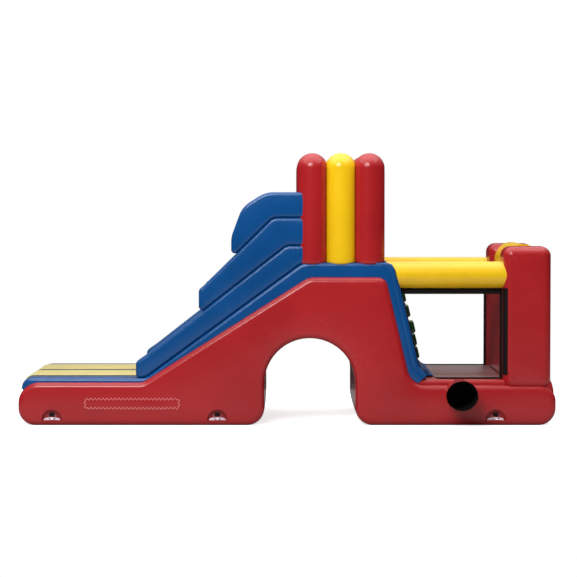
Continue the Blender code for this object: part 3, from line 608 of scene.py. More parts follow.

# %% [markdown]
# ## The red body
#
# One chamber carries everything: landing, ramp, tower over the crawl tunnel, and play base. Its line is the
# model's, but stands a little higher where the bed covers it, because its sides reach up round the bed's
# underside. It rests flat, so no point may go below the ground. Three things are then cut into it, each
# with a cutter that leaves its own finish behind: a half-round niche for every anchor ring, dark red as
# painted shade, a shallow pocket for the zip, and the round port that the air comes in by, black as painted
# shade.

# %% Main body
RIM_RISE = 0.024
LANDING_RADIUS = END_RADIUS + 1.8 * RIM_RISE
RAMP_ANGLE = math.atan2(PLATFORM_HEIGHT - BASE_HEIGHT, RAMP_HEAD_X - RAMP_FOOT_X)
BODY_CROWN = 0.006
WEBS = ["inner_web_front", "inner_web_middle", "inner_web_back"]


def lower_line(rise=0.0):
    """The body's top line from the play floor back to the landing, raised from the climb onwards."""
    back = rise * math.tan(RAMP_ANGLE / 2)
    return [
        (climb_x(BASE_HEIGHT), BASE_HEIGHT, CLIMB_FILLET),
        (climb_x(PLATFORM_HEIGHT + rise), PLATFORM_HEIGHT + rise, PLATFORM_RADIUS),
        (RAMP_HEAD_X - back, PLATFORM_HEIGHT + rise, RAMP_RADIUS),
        (RAMP_FOOT_X - back, BASE_HEIGHT + rise, FOOT_FILLET),
    ]


def tunnel_arch(steps=48):
    points = []
    for k in range(steps + 1):
        angle = math.pi - math.pi * k / steps
        x = TUNNEL_X + TUNNEL_RADIUS * math.cos(angle)
        points.append((x, TUNNEL_SPRING + TUNNEL_RADIUS * math.sin(angle), 0.0))
    return points


def body_corners():
    left = -LENGTH / 2
    right = LENGTH / 2
    corners = [(left, 0.0, END_RADIUS), (TUNNEL_X - TUNNEL_RADIUS, 0.0, TUNNEL_FOOT_RADIUS)]
    corners += tunnel_arch()
    corners += [(TUNNEL_X + TUNNEL_RADIUS, 0.0, TUNNEL_FOOT_RADIUS), (right, 0.0, END_RADIUS)]
    corners += [(right, BASE_HEIGHT, END_RADIUS)]
    corners += lower_line(RIM_RISE)
    corners += [(left, BASE_HEIGHT + RIM_RISE, LANDING_RADIUS)]
    return corners


body = chamber(
    "red_body", body_corners(), 2 * HALF_WIDTH, RIM, RED, ["main_body", *WEBS],
    crown=BODY_CROWN, lattice=0.07, floor=0.0,
)
print("the red body has", len(body.data.polygons), "faces")

# %% Niches, pocket and port
ANCHOR_XS = (-2.183, -0.647, 1.938)
NICHE_WIDTH = 0.19
NICHE_HEIGHT = 0.100
NICHE_FLOOR = 0.050
NICHE_DEPTH = 0.030
ZIP_X = -1.438
ZIP_HEIGHT = 0.205
POCKET_LENGTH = 0.82
POCKET_DEPTH = 0.014
POCKET_HEIGHT = 0.044
SLEEVE_X = 1.60
PORT_HEIGHT = 0.240
PORT_RADIUS = 0.070
PORT_DEPTH = 0.08
CUT_PAST = 0.03


def anchors():
    """(number, x, side) of every anchor ring, counted from the landing on the near side first."""
    return [(3 * row + k + 1, x, side) for row, side in enumerate((-1, 1)) for k, x in enumerate(ANCHOR_XS)]


def prism(line, *ends):
    """A closed side view (x, z) with a flat face at two values of Y."""
    verts, rings = stacked([[(x, y, z) for x, z in line] for y in ends])
    return verts, capped(rings)


def cutter(name, line, low_y, high_y, finish):
    verts, faces = prism(line, low_y, high_y)
    mesh = bpy.data.meshes.new(name)
    mesh.from_pydata([(x - ORIGIN_X, y, z) for x, y, z in verts], [], faces)
    work = bmesh.new()
    work.from_mesh(mesh)
    bmesh.ops.recalc_face_normals(work, faces=work.faces)
    work.to_mesh(mesh)
    work.free()
    mesh.materials.append(finish.material)
    return placed(name, mesh)


def carve(piece, tool):
    """Takes the tool away from the piece for good, and leaves the tool's finish on the cut."""
    boolean = piece.modifiers.new("cut", "BOOLEAN")
    boolean.object = tool
    boolean.solver = "EXACT"
    boolean.material_mode = "TRANSFER"
    bpy.context.view_layer.update()
    graph = bpy.context.evaluated_depsgraph_get()
    cut_mesh = bpy.data.meshes.new_from_object(piece.evaluated_get(graph))
    piece.modifiers.clear()
    piece.data = cut_mesh
    bpy.data.objects.remove(tool, do_unlink=True)


def half_round(x, width, height, power=1.0, steps=24):
    """A half-round line that stands on the niche's floor."""
    turns = [math.pi * k / steps for k in range(steps + 1)]
    return [(x + width / 2 * math.cos(t), NICHE_FLOOR + height * math.sin(t) ** power) for t in turns]


def round_line(x, z, radius, steps=48):
    turns = [2 * math.pi * k / steps for k in range(steps)]
    return [(x + radius * math.cos(t), z + radius * math.sin(t)) for t in turns]


def rectangle(x0, x1, z0, z1, *radius):
    return [(x0, z0, *radius), (x1, z0, *radius), (x1, z1, *radius), (x0, z1, *radius)]


for _, x, side in anchors():
    ends = sorted([side * (HALF_WIDTH - NICHE_DEPTH), side * (HALF_WIDTH + CUT_PAST)])
    carve(body, cutter("niche", half_round(x, NICHE_WIDTH, NICHE_HEIGHT), *ends, SHADED))
pocket_x = (ZIP_X - POCKET_LENGTH / 2, ZIP_X + POCKET_LENGTH / 2)
pocket_line = rectangle(*pocket_x, ZIP_HEIGHT - POCKET_HEIGHT / 2, ZIP_HEIGHT + POCKET_HEIGHT / 2)
carve(body, cutter("pocket", pocket_line, -HALF_WIDTH - CUT_PAST, -HALF_WIDTH + POCKET_DEPTH, BLACK))
# The port's walls take the black finish as painted shade for the depth of the hole.
port_line = round_line(SLEEVE_X, PORT_HEIGHT, PORT_RADIUS)
carve(body, cutter("port", port_line, -HALF_WIDTH - CUT_PAST, -HALF_WIDTH + PORT_DEPTH, BLACK))
print("cut niches, pocket and port; the body now has", len(body.data.polygons), "faces")

# %% [markdown]
# ## The blue bed
#
# The bed is a thinner chamber that hugs the red one from the landing over the platform to the foot of the
# climbing side. Its thickness changes along the way, so it is drawn from two lines planned together, one
# along its top and one along its underside. Between each pair of points goes the same section: flat on top,
# rounded at both sides.


# %% Two lines planned together
BAND_TURNS = [math.radians(a) for a in (0, 20, 40, 60, 80, 90)]
BAND_ACROSS = 0.05
BAND_PUCKER = 0.0008


def matched_lines(lines, spacing=0.03):
    """Open lines of corners (x, z, radius), each drawn with the same number of points."""
    count = len(lines[0])
    arcs = []
    for i in range(count):
        steps = 0
        if 0 < i < count - 1 and lines[0][i][2] > 0:
            steps = max(2, *[math.ceil(abs(corner_arc(line, i)[2]) / TURN_STEP) for line in lines])
        arcs.append(steps)
    groups = [[arc_points(line, i, arcs[i]) for i in range(count)] for line in lines]
    drawn = [list(g[0]) for g in groups]
    for i in range(1, count):
        runs = max(1, round((groups[0][i][0] - groups[0][i - 1][-1]).length / spacing))
        for g, points in zip(groups, drawn):
            start = g[i - 1][-1]
            points += [start.lerp(g[i][0], k / runs) for k in range(1, runs)] + g[i]
    return [np.array([tuple(p) for p in points]) for points in drawn]


def band_section(half, thick, rim):
    """(y, height, distance from the seam) round a band that is flat below and on top."""
    r = min(rim, 0.48 * thick)
    span = half - r
    quarter = r * math.pi / 2
    side = [(span + r * math.sin(t), r * (1 - math.cos(t)), abs(thick - r)) for t in BAND_TURNS]
    side += [(span + r * math.cos(t), thick - r + r * math.sin(t), r * t) for t in BAND_TURNS]
    count = max(2, int(2 * half / BAND_ACROSS))
    top = [(-y, thick, 0.0) for y in np.linspace(-span, span, count)[1:-1]]
    left = [(-y, height, gap) for y, height, gap in reversed(side)]
    section = side + top + left
    return [(y, height, gap if abs(y) > span else quarter + span - abs(y)) for y, height, gap in section]


def band(name, low, high, width, rim, finish, stands_for, at_y=0.0, seed=2.0):
    """A strip between a low and a high line, with rounded sides and flat ends."""
    along = np.concatenate([[0], np.cumsum(np.linalg.norm(np.diff(high, axis=0), axis=1))])
    rows = []
    away = []
    for a, b in zip(low, high):
        thick = np.linalg.norm(b - a)
        up = (b - a) / thick
        section = band_section(width / 2, thick, rim)
        rows.append([(a[0] + up[0] * height, y, a[1] + up[1] * height) for y, height, _ in section])
        away += [gap for _, _, gap in section]
    verts, rings = stacked(rows)
    faces = capped(rings)
    verts = np.array(verts)
    offset = seam_offset(np.repeat(along, len(rings[0])), np.array(away), BAND_PUCKER, seed)
    verts += vertex_normals(verts, faces) * offset[:, None]
    verts[:, 1] += at_y
    return add_piece(name, verts, faces, finish, stands_for)


print("a band can change its thickness along the way")

# %% Slide bed
BED_FOOT = 0.061
BED_HEAD = 0.154
BED_CLIMB = 0.066
BED_TOE_RUN = 0.083
BED_TOE_RISE = 0.069
BED_TOE_FALL = 0.60
BED_TOE_FILLET = 0.12
BED_TIP = 0.018
BED_END_LEAN = 0.014
BED_END_RADIUS = 0.085
BED_CORNER = 0.10
BED_HALF_WIDTH = 0.960
BED_RIM = 0.033
BED_SINK = 0.020
BED_LEVEL = PLATFORM_HEIGHT + BED_HEAD
BED_FOOT_LEVEL = BASE_HEIGHT + BED_FOOT
BED_FOOT_X = RAMP_FOOT_X + 0.3 * BED_FOOT
BED_HEAD_X = RAMP_HEAD_X - 0.42 * BED_HEAD
TIP_TURN = math.radians(45)
TOE_TURN = (math.pi / 2 - CLIMB_LEAN) / 3
ARC_SLACK = 0.97


def on_circle(centre, radius, turn):
    return (centre[0] + radius * math.cos(turn), centre[1] + radius * math.sin(turn))


def arc_corner(centre, radius, first, last):
    """The corner whose rounding is the arc from one turn to another, a little slack so that arcs can meet."""
    reach = radius / math.cos((last - first) / 2)
    return (*on_circle(centre, reach, (first + last) / 2), ARC_SLACK * radius)


END_CENTRE = (-LENGTH / 2 + END_RADIUS, BASE_HEIGHT - END_RADIUS)
FILLET_CENTRE = (climb_x(BASE_HEIGHT + CLIMB_FILLET, CLIMB_FILLET), BASE_HEIGHT + CLIMB_FILLET)
FILLET_FOOT = math.radians(270)
TIP_BASE = on_circle(END_CENTRE, END_RADIUS, math.radians(90) + TIP_TURN)
TOE_BASE = on_circle(FILLET_CENTRE, CLIMB_FILLET, FILLET_FOOT - TOE_TURN)


def bed_toe():
    """The top of the slanting face that the bed ends in at the foot of the climb."""
    return (TOE_BASE[0] + BED_TOE_RUN, TOE_BASE[1] + BED_TOE_RISE)


def toe_knee():
    """Where the bed's top line turns from the climb towards the toe."""
    x, z = bed_toe()
    back = (x - climb_x(z, BED_CLIMB)) / (1 - BED_TOE_FALL * math.tan(CLIMB_LEAN))
    return (x - back, z + back * BED_TOE_FALL)


def bed_top():
    """The bed's top line from its tip on the landing's round end to its toe."""
    tip = on_circle(END_CENTRE, END_RADIUS + BED_TIP, math.radians(90) + TIP_TURN)
    return [
        (*tip, 0),
        (tip[0] + BED_END_LEAN, BED_FOOT_LEVEL, BED_END_RADIUS),
        (BED_FOOT_X, BED_FOOT_LEVEL, FOOT_FILLET),
        (BED_HEAD_X, BED_LEVEL, RAMP_RADIUS),
        (climb_x(BED_LEVEL, BED_CLIMB), BED_LEVEL, BED_CORNER),
        (*toe_knee(), BED_TOE_FILLET),
        (*bed_toe(), 0),
    ]


def bed_underside():
    """The same stations on the red body's line."""
    level = math.radians(90)
    return [
        (*TIP_BASE, 0),
        arc_corner(END_CENTRE, END_RADIUS, level + TIP_TURN, level),
        *lower_line()[:0:-1],
        arc_corner(FILLET_CENTRE, CLIMB_FILLET, math.radians(180) + CLIMB_LEAN, FILLET_FOOT - TOE_TURN),
        (*TOE_BASE, 0),
    ]


def sunk(line, depth):
    """The line moved square to itself, towards the red body."""
    into = np.gradient(line, axis=0)
    into /= np.linalg.norm(into, axis=1)[:, None]
    return line + np.stack([into[:, 1], -into[:, 0]], axis=1) * depth


high, low = matched_lines([bed_top(), bed_underside()])
sink = BED_SINK * np.clip(np.linalg.norm(high - low, axis=1) / (2 * BED_SINK), 0, 1)
bed = band("blue_bed", sunk(low, sink[:, None]), high, 2 * BED_HALF_WIDTH, BED_RIM, BLUE, ["slide_bed"])
print("the bed has", len(bed.data.polygons), "faces")

# %% Slide lanes
LANE_OUTER_Y = 0.677
DIVIDER_WIDTH = 0.20
LANE_THICKNESS = 0.012
LANE_GAP = 0.0006
LANE_RIM = 0.0055


def add_lane(side_name, side):
    """A yellow runner from the landing's end up the ramp, sewn flat on the bed."""
    width = LANE_OUTER_Y - DIVIDER_WIDTH / 2
    corners = bed_top()[:4]
    end = (corners[3][0] + RAMP_RADIUS, corners[3][1], 0)
    path = matched_lines([corners + [end]])[0]
    return band(
        f"lane_{side_name}", sunk(path, -LANE_GAP), sunk(path, -LANE_THICKNESS), width, LANE_RIM, LANE,
        [f"slide_lane_{side_name}"], at_y=side * (LANE_OUTER_Y + DIVIDER_WIDTH / 2) / 2, seed=3.0 + side,
    )


print("lanes:", [add_lane(*pair).name for pair in SIDES.items()])

# %% [markdown]
# ## Side walls
#
# Each side wall is three flat chambers stacked above each other. Their seams run parallel to the ramp and
# turn level in front of the tower.

# %% Side walls
WALL_THICKNESS = 0.25
WALL_INSET = 0.059
WALL_RIM = 0.034
WALL_CORNER = 0.045
WALL_BEND = 0.10
NOSE_RUN = 0.103
LOWER_START_X = -1.407
LOWER_NOSE = 0.145
LOWER_KNEE_X = -0.005
LOWER_RISE = 0.162
LOWER_FOOT_RISE = 0.217
MIDDLE_START_X = -0.821
MIDDLE_NOSE = 0.225
MIDDLE_KNEE_X = -0.132
MIDDLE_RISE = 0.420
UPPER_START_X = -0.519
UPPER_NOSE = 0.20
UPPER_RISE = 0.655
UPPER_BROW_X = -0.415
UPPER_BROW_DROP = 0.135
UPPER_CROWN_X = -0.200
UPPER_ROUND = 0.25
WALL_Y = HALF_WIDTH - WALL_INSET - WALL_THICKNESS / 2
COLUMN_FIRST_X = 0.235


def on_line(line, x):
    (x0, z0), (x1, z1) = line
    return z0 + (x - x0) * (z1 - z0) / (x1 - x0)


def lower_seam():
    start = (LOWER_START_X + NOSE_RUN, BED_FOOT_LEVEL + LOWER_FOOT_RISE)
    return start, (LOWER_KNEE_X, BED_LEVEL + LOWER_RISE)


def middle_seam():
    start, knee = lower_seam()
    slope = (knee[1] - start[1]) / (knee[0] - start[0])
    start_x = MIDDLE_START_X + NOSE_RUN / 3
    start_z = start[1] + (start_x - start[0]) * slope + MIDDLE_NOSE
    return (start_x, start_z), (MIDDLE_KNEE_X, BED_LEVEL + MIDDLE_RISE)


def lower_layer():
    start, knee = lower_seam()
    return [
        (LOWER_START_X, BED_FOOT_LEVEL, WALL_RIM),
        (BED_FOOT_X, BED_FOOT_LEVEL, FOOT_FILLET),
        (BED_HEAD_X, BED_LEVEL, RAMP_RADIUS),
        (COLUMN_FIRST_X, BED_LEVEL, 0),
        (COLUMN_FIRST_X, knee[1], 0),
        (*knee, WALL_BEND),
        (*start, WALL_CORNER),
        (LOWER_START_X, BED_FOOT_LEVEL + LOWER_NOSE, WALL_CORNER),
    ]


def middle_layer():
    start, knee = middle_seam()
    lower = lower_seam()
    low_z = on_line(lower, MIDDLE_START_X)
    return [
        (MIDDLE_START_X, low_z, WALL_RIM),
        (*lower[1], WALL_BEND),
        (COLUMN_FIRST_X, lower[1][1], 0),
        (COLUMN_FIRST_X, knee[1], 0),
        (*knee, WALL_BEND),
        (*start, WALL_CORNER),
        (MIDDLE_START_X, low_z + MIDDLE_NOSE, WALL_CORNER),
    ]


def upper_layer():
    middle = middle_seam()
    low_z = on_line(middle, UPPER_START_X)
    top = BED_LEVEL + UPPER_RISE
    return [
        (UPPER_START_X, low_z, WALL_RIM),
        (*middle[1], WALL_BEND),
        (COLUMN_FIRST_X, middle[1][1], 0),
        (COLUMN_FIRST_X, top, 0),
        (UPPER_CROWN_X, top, UPPER_ROUND),
        (UPPER_BROW_X, top - UPPER_BROW_DROP, UPPER_ROUND),
        (UPPER_START_X, low_z + UPPER_NOSE, UPPER_ROUND),
    ]


def add_walls():
    """The upper chambers have tight round corners, so their rings stay closer to the seam."""
    layers = (("lower", lower_layer(), 0.3), ("middle", middle_layer(), 0.3), ("upper", upper_layer(), 0.06))
    for side_name, side in SIDES.items():
        for number, (layer, corners, border) in enumerate(layers):
            chamber(
                f"wall_{layer}_{side_name}", corners, WALL_THICKNESS, WALL_RIM, BLUE,
                [f"side_wall_{layer}_{side_name}"], at_y=side * WALL_Y, crown=0.003, crown_reach=0.12,
                swell=0.001, pucker=0.0014, border=border, lattice=0.045, seed=5.0 + number + side / 3,
            )
    return 2 * len(layers)


print("added", add_walls(), "wall layers")

# %% [markdown]
# ## Tower columns
#
# Three upright tubes stand side by side on each side of the platform. Where two of them touch they press
# each other flat. Each closes in a round dome above a sewn ring, and dips a little into the bed
# that it stands on.

# %% Columns
COLUMN_RADIUS = 0.144
COLUMN_PITCH = 0.2655
COLUMN_TOP = 2.529
COLUMN_Y = 0.829
COLUMN_SINK = 0.016
COLUMN_EDGE = 0.03
COLUMN_FOLD = 0.0006
COLUMN_STEPS = 72
DOME_HEIGHT = COLUMN_TOP - COLUMN_RADIUS


def column_profile():
    """(radius, height) from the rounded edge of the foot to just under the tip of the dome."""
    foot = BED_LEVEL - COLUMN_SINK
    inner = COLUMN_RADIUS - COLUMN_EDGE
    points = []
    for turn in np.linspace(0, math.pi / 2, 7):
        points.append((inner + COLUMN_EDGE * math.sin(turn), foot + COLUMN_EDGE * (1 - math.cos(turn))))
    points += [(COLUMN_RADIUS, z) for z in np.linspace(foot + COLUMN_EDGE, DOME_HEIGHT, 26)[1:]]
    for turn in np.linspace(0, math.pi / 2, 16)[1:-1]:
        points.append((COLUMN_RADIUS * math.cos(turn), DOME_HEIGHT + COLUMN_RADIUS * math.sin(turn)))
    return points


def add_column(index, side_name, side, finish):
    """One tube, cut flat on each side where it presses on a neighbour."""
    x = COLUMN_FIRST_X + index * COLUMN_PITCH
    low = -math.inf if index == 0 else -COLUMN_PITCH / 2
    high = math.inf if index == 2 else COLUMN_PITCH / 2
    profile = column_profile()
    rows = []
    for r, z in profile:
        seam = SEAM_DEPTH * math.exp(-(((z - DOME_HEIGHT) / SEAM_REACH) ** 2))
        near = math.exp(-abs(z - DOME_HEIGHT) / PUCKER_REACH)
        row = []
        for k in range(COLUMN_STEPS):
            turn = 2 * math.pi * k / COLUMN_STEPS
            crease = noise.noise((6 * math.cos(turn), 6 * math.sin(turn), 3.1 * index + side))
            around = r - seam + COLUMN_FOLD * near * crease
            across = min(max(around * math.cos(turn), low), high)
            row.append((x + across, side * COLUMN_Y + around * math.sin(turn), z))
        rows.append(row)
    verts, rings = stacked(rows)
    faces = bridge(rings)
    for ring, z in ((rings[0], profile[0][1]), (rings[-1], COLUMN_TOP)):
        faces += [(len(verts), ring[k], ring[(k + 1) % COLUMN_STEPS]) for k in range(COLUMN_STEPS)]
        verts.append((x, side * COLUMN_Y, z))
    name = f"tower_tube_{index + 1}_{side_name}"
    return add_piece(name, verts, faces, finish, [f"column_{index + 1}_{side_name}"])


for side_name, side in SIDES.items():
    for index, finish in enumerate((RED, YELLOW, RED)):
        add_column(index, side_name, side, finish)
print("six tubes, each", round(2 * COLUMN_RADIUS, 3), "across")

# %% [markdown]
# ## Climbing wall, play floor and holds
#
# Both panels are ribbed mattresses: a row of half-round tubes side by side. One section is carried along a
# line, down the climbing side and round its foot. The holds are firm soft blocks with a pinched waist.

# %% Ribbed panels
PANEL_HALF_WIDTH = 0.70
RIB_COUNT = 8
RIB_RISE = 0.022
PANEL_THICKNESS = 0.018
PANEL_SINK = 0.004
FLOOR_THICKNESS = 0.045
FLOOR_MARGIN = 0.045
FLOOR_ROUND = 0.035
RIBS_END_X = 2.20
FLOOR_END_TURNS = (0, 15, 25, 30, 45, 60)
FLOOR_END_SHARES = (1.0, 1.16, 1.40, 1.46, 0.62, 0.08)


def rib_row(base, steps=14):
    """(y, height) of a row of half-round ribs."""
    rib = 2 * PANEL_HALF_WIDTH / RIB_COUNT
    points = []
    for k in range(RIB_COUNT * steps + 1):
        bump = abs(math.sin(math.pi * k / steps)) ** 0.7
        points.append((-PANEL_HALF_WIDTH + rib * k / steps, base + RIB_RISE * bump))
    return points


def sweep(name, section, path, finish, stands_for, flat_from=math.inf):
    """A closed section (y, height) carried along a path (x, z, share of the height), ribbed up to some X."""
    line = np.array([p[:2] for p in path])
    into = np.gradient(line, axis=0)
    into /= np.linalg.norm(into, axis=1)[:, None]
    rows = []
    for (x, z, share), (ax, az) in zip(path, into):
        top = FLOOR_THICKNESS if x > flat_from else math.inf
        heights = [min(h, top) * share for _, h in section]
        rows.append([(x - az * h, y, z + ax * h) for (y, _), h in zip(section, heights)])
    verts, rings = stacked(rows)
    return add_piece(name, verts, capped(rings), finish, stands_for)


PANEL_REACH = 0.045
PANEL_EDGE = 0.25
FOOT_ROUND = 0.08


def climb_line():
    """Down the climb, over the bed's toe and on to the floor, where the ribs thin out."""
    top_z = BED_LEVEL - 1.2 * BED_CORNER
    x, z = bed_toe()
    floor_z = BASE_HEIGHT + FLOOR_THICKNESS + RIB_RISE
    floor_x = x + (z - floor_z) / BED_TOE_FALL
    corners = [(climb_x(top_z, BED_CLIMB), top_z, 0), (*toe_knee(), BED_TOE_FILLET)]
    corners += [(floor_x, floor_z, FOOT_ROUND), (floor_x + PANEL_REACH, floor_z, 0)]
    line = matched_lines([corners], spacing=0.02)[0]
    shares = 1 - (1 - PANEL_EDGE) * np.clip((line[:, 0] - x) / (line[-1][0] - x), 0, 1)
    return [(x, z, share) for (x, z), share in zip(line, shares)]


def floor_section():
    """(y, height) of the play floor, from its one rounded edge over the ribs to the other."""
    half = HALF_WIDTH - FLOOR_MARGIN
    right = [(half, 0.0)]
    for turn in np.linspace(0, math.pi / 2, 9):
        inwards = FLOOR_ROUND * (1 - math.cos(turn))
        right.append((half - inwards, FLOOR_THICKNESS - FLOOR_ROUND * (1 - math.sin(turn))))
    return [(-y, h) for y, h in right] + rib_row(FLOOR_THICKNESS) + right[::-1]


def floor_path():
    """From under the bed's toe along the play base, then round its end, where the slab squares it off."""
    turns = np.linspace(FILLET_FOOT - TOE_TURN, FILLET_FOOT, 6)
    path = [(*on_circle(FILLET_CENTRE, CLIMB_FILLET, t), 1.0) for t in turns]
    end_x = LENGTH / 2 - END_RADIUS
    path += [(x, BASE_HEIGHT, 1.0) for x in np.linspace(path[-1][0], end_x, 17)[1:-1]]
    centre = (end_x, BASE_HEIGHT - END_RADIUS)
    for turn in range(0, 61, 5):
        share = np.interp(turn, FLOOR_END_TURNS, FLOOR_END_SHARES)
        path.append((*on_circle(centre, END_RADIUS, math.radians(90 - turn)), share))
    return path


panel = [(-PANEL_HALF_WIDTH, -PANEL_SINK), *rib_row(PANEL_THICKNESS), (PANEL_HALF_WIDTH, -PANEL_SINK)]
sweep("ribbed_climb", panel, climb_line(), BLUE, ["climbing_wall"])
play_floor = sweep("ribbed_floor", floor_section(), floor_path(), RED, ["play_floor"], RIBS_END_X)
play_floor.data.materials.append(TREAD.material)
for face in play_floor.data.polygons:
    ribbed = abs(face.center.y) < PANEL_HALF_WIDTH and face.center.x < RIBS_END_X - ORIGIN_X
    if ribbed and face.normal.z > 0.3:
        face.material_index = 1
print("ribs are", round(2 * PANEL_HALF_WIDTH / RIB_COUNT, 3), "wide")

# %% Borders beside the ribs
BORDER_FACE = BED_CLIMB + PANEL_THICKNESS + RIB_RISE
BORDER_ROOT = 0.03
BORDER_PROUD = 0.001


def add_border(side_name, side):
    """A flat chamber beside the ribs, from the platform's corner down to the bed's toe."""
    top = BED_LEVEL + BORDER_PROUD
    bottom = BED_LEVEL - BORDER_ROOT
    knee_x, knee_z = toe_knee()
    x, z = bed_toe()
    rise = BORDER_FACE - BED_CLIMB
    face = [
        (CLIMB_HEAD_X - BED_CORNER, top, 0),
        (climb_x(BED_LEVEL, BORDER_FACE), top, BED_CORNER),
        (knee_x + rise, knee_z + 0.4 * rise, BED_TOE_FILLET),
        (x + 0.004, z + 0.006, 0),
    ]
    root = [
        (CLIMB_HEAD_X - BED_CORNER, bottom, 0),
        (climb_x(bottom, BED_CLIMB - BORDER_ROOT), bottom, BED_CORNER / 2),
        (knee_x - BORDER_ROOT, knee_z - BORDER_ROOT / 2, BED_TOE_FILLET),
        (x - BORDER_ROOT / 2, z - BORDER_ROOT / 2, 0),
    ]
    high, low = matched_lines([face, root])
    width = BED_HALF_WIDTH - PANEL_HALF_WIDTH
    middle = side * (BED_HALF_WIDTH + PANEL_HALF_WIDTH) / 2
    name = f"climb_border_{side_name}"
    return band(name, low, high, width, BED_RIM, BLUE, (), at_y=middle, seed=9.0 + side)


print("borders:", [add_border(*pair).name for pair in SIDES.items()])

# %% Climbing holds
HOLD_HEAD_MARGIN = 0.385
HOLD_FOOT_MARGIN = 0.014
HOLD_SPREADS = (0.10, 0.27, 0.55, 0.27, 0.10)
HOLD_SIZE = (0.066, 0.15, 0.132)
HOLD_TAPER = 0.86
HOLD_SINK = 0.004
HOLD_SOFTNESS = 6


def hold_places():
    """(along the climb from its top, y) of every hold, row by row."""
    turn = math.pi / 2 - CLIMB_LEAN - math.atan(BED_TOE_FALL)
    drop = BED_LEVEL - toe_knee()[1]
    straight = drop / math.cos(CLIMB_LEAN) - BED_TOE_FILLET * math.tan(turn / 2)
    pitch = (straight - HOLD_HEAD_MARGIN - HOLD_FOOT_MARGIN) / (len(HOLD_SPREADS) - 1)
    places = []
    for row, spread in enumerate(HOLD_SPREADS):
        along = HOLD_HEAD_MARGIN + row * pitch
        places += [(along, -spread), (along, spread)]
    return places


def add_hold(number, along, y):
    """A soft block: full towards its outer face, drawn in where it is sewn on."""
    deep, wide, tall = HOLD_SIZE
    z = BED_LEVEL - along * math.cos(CLIMB_LEAN)
    work = bmesh.new()
    bmesh.ops.create_cube(work, size=1.0)
    bmesh.ops.subdivide_edges(work, edges=work.edges, cuts=9, use_grid_fill=True)
    for vert in work.verts:
        p = vert.co * 2
        soft = sum(abs(c) ** HOLD_SOFTNESS for c in p) ** (1 / HOLD_SOFTNESS)
        p *= max(abs(c) for c in p) / max(soft, 1e-6)
        narrow = 1 - (1 - HOLD_TAPER) * (p.x + 1) / 2
        vert.co = (p.x * deep / 2, p.y * wide / 2 * narrow, p.z * tall / 2 * narrow)
    turn = Matrix.Rotation(-CLIMB_LEAN, 4, "Y")
    out = Vector((math.cos(CLIMB_LEAN), 0, math.sin(CLIMB_LEAN))) * (BORDER_FACE + deep / 2 - HOLD_SINK)
    centre = Vector((climb_x(z), y, z)) + out
    verts = [tuple(centre + turn @ vert.co) for vert in work.verts]
    faces = [tuple(v.index for v in face.verts) for face in work.faces]
    work.free()
    return add_piece(f"soft_hold_{number}", verts, faces, GREEN, [f"hold_{number}"])


for number, (along, y) in enumerate(hold_places()):
    add_hold(number + 1, along, y)
print("added", len(hold_places()), "holds")

# %% [markdown]
# ## The play end
#
# Two tall pillars with big round edges, a padded wall between them with a tube on top, and a rail on each
# side that leads from the tower to a pillar.

# %% Pillars and end wall
PILLAR_START_X = 2.010
PILLAR_LENGTH = 0.440
PILLAR_DEPTH = 0.47
PILLAR_TOP = 1.658
PILLAR_FOOT = BASE_HEIGHT - 0.035
PILLAR_RADIUS = 0.085
PILLAR_RIM = 0.08
END_WALL_LENGTH = 0.37
END_SEAT = 0.09
END_WALL_TOP = 1.335
END_WALL_RIM = 0.05
END_WALL_RADIUS = 0.06
END_TUBE_RADIUS = 0.17

pillar_x = (PILLAR_START_X, PILLAR_START_X + PILLAR_LENGTH)
for side_name, side in SIDES.items():
    chamber(
        f"pillar_{side_name}", rectangle(*pillar_x, PILLAR_FOOT, PILLAR_TOP, PILLAR_RADIUS), PILLAR_DEPTH,
        PILLAR_RIM, RED, [f"end_pillar_{side_name}"], at_y=side * (HALF_WIDTH - PILLAR_DEPTH / 2),
        crown_reach=0.20, border=0.6, lattice=0.05, seed=20.0 + side,
    )
between = 2 * (HALF_WIDTH - PILLAR_DEPTH + END_SEAT)
wall_x = (PILLAR_START_X, PILLAR_START_X + END_WALL_LENGTH)
chamber(
    "padded_end", rectangle(*wall_x, BASE_HEIGHT + FLOOR_THICKNESS, END_WALL_TOP, END_WALL_RADIUS), between,
    END_WALL_RIM, RED, ["end_wall"], crown=0.004, border=0.6, seed=23.0,
)
print("the padded end is", round(between, 2), "m between the pillars' middles")

# %% Rails and end tube
RAIL_RADIUS = 0.124
RAIL_HEIGHT = 1.396
RAIL_INSET = 0.145
RAIL_SINK = 0.006
TUBE_STEPS = 64
TUBE_SPACING = 0.04
TUBE_FOLD = 0.0022
TUBE_FOLD_REACH = 0.12


def tube(name, start, end, radius, finish, stands_for, start_at=None):
    """A round chamber from start to end, with faint rings of puckers at both ends."""
    start = Vector(start)
    end = Vector(end)
    axis = (end - start).normalized()
    across = Vector((0, 0, 1)).cross(axis).normalized()
    up = axis.cross(across)
    length = (end - start).length
    rows = []
    for s in np.linspace(0, length, max(8, int(length / TUBE_SPACING))):
        near = math.exp(-min(s, length - s) / TUBE_FOLD_REACH)
        row = []
        for k in range(TUBE_STEPS):
            turn = 2 * math.pi * k / TUBE_STEPS
            fold = TUBE_FOLD * near * noise.noise((5 * math.cos(turn), 5 * math.sin(turn), 3 * s))
            out = (across * math.cos(turn) + up * math.sin(turn)) * (radius + fold)
            point = start + out
            if start_at:
                point.x = start_at(point.z)
            row.append(tuple(point.lerp(end + out, s / length)))
        rows.append(row)
    verts, rings = stacked(rows)
    return add_piece(name, verts, capped(rings), finish, stands_for)


def bed_edge(z):
    """Where a rail starts: a little inside the outer line of the borders over the climb."""
    tangent = BED_CORNER * math.tan((math.pi / 2 - CLIMB_LEAN) / 2)
    centre_x = climb_x(BED_LEVEL, BORDER_FACE) - tangent
    rise = min(max(z - BED_LEVEL + BED_CORNER, 0.0), 0.99 * BED_CORNER)
    on_arc = centre_x + math.sqrt(BED_CORNER**2 - rise**2)
    return min(climb_x(z, BORDER_FACE), on_arc if rise > 0 else math.inf) - RAIL_SINK


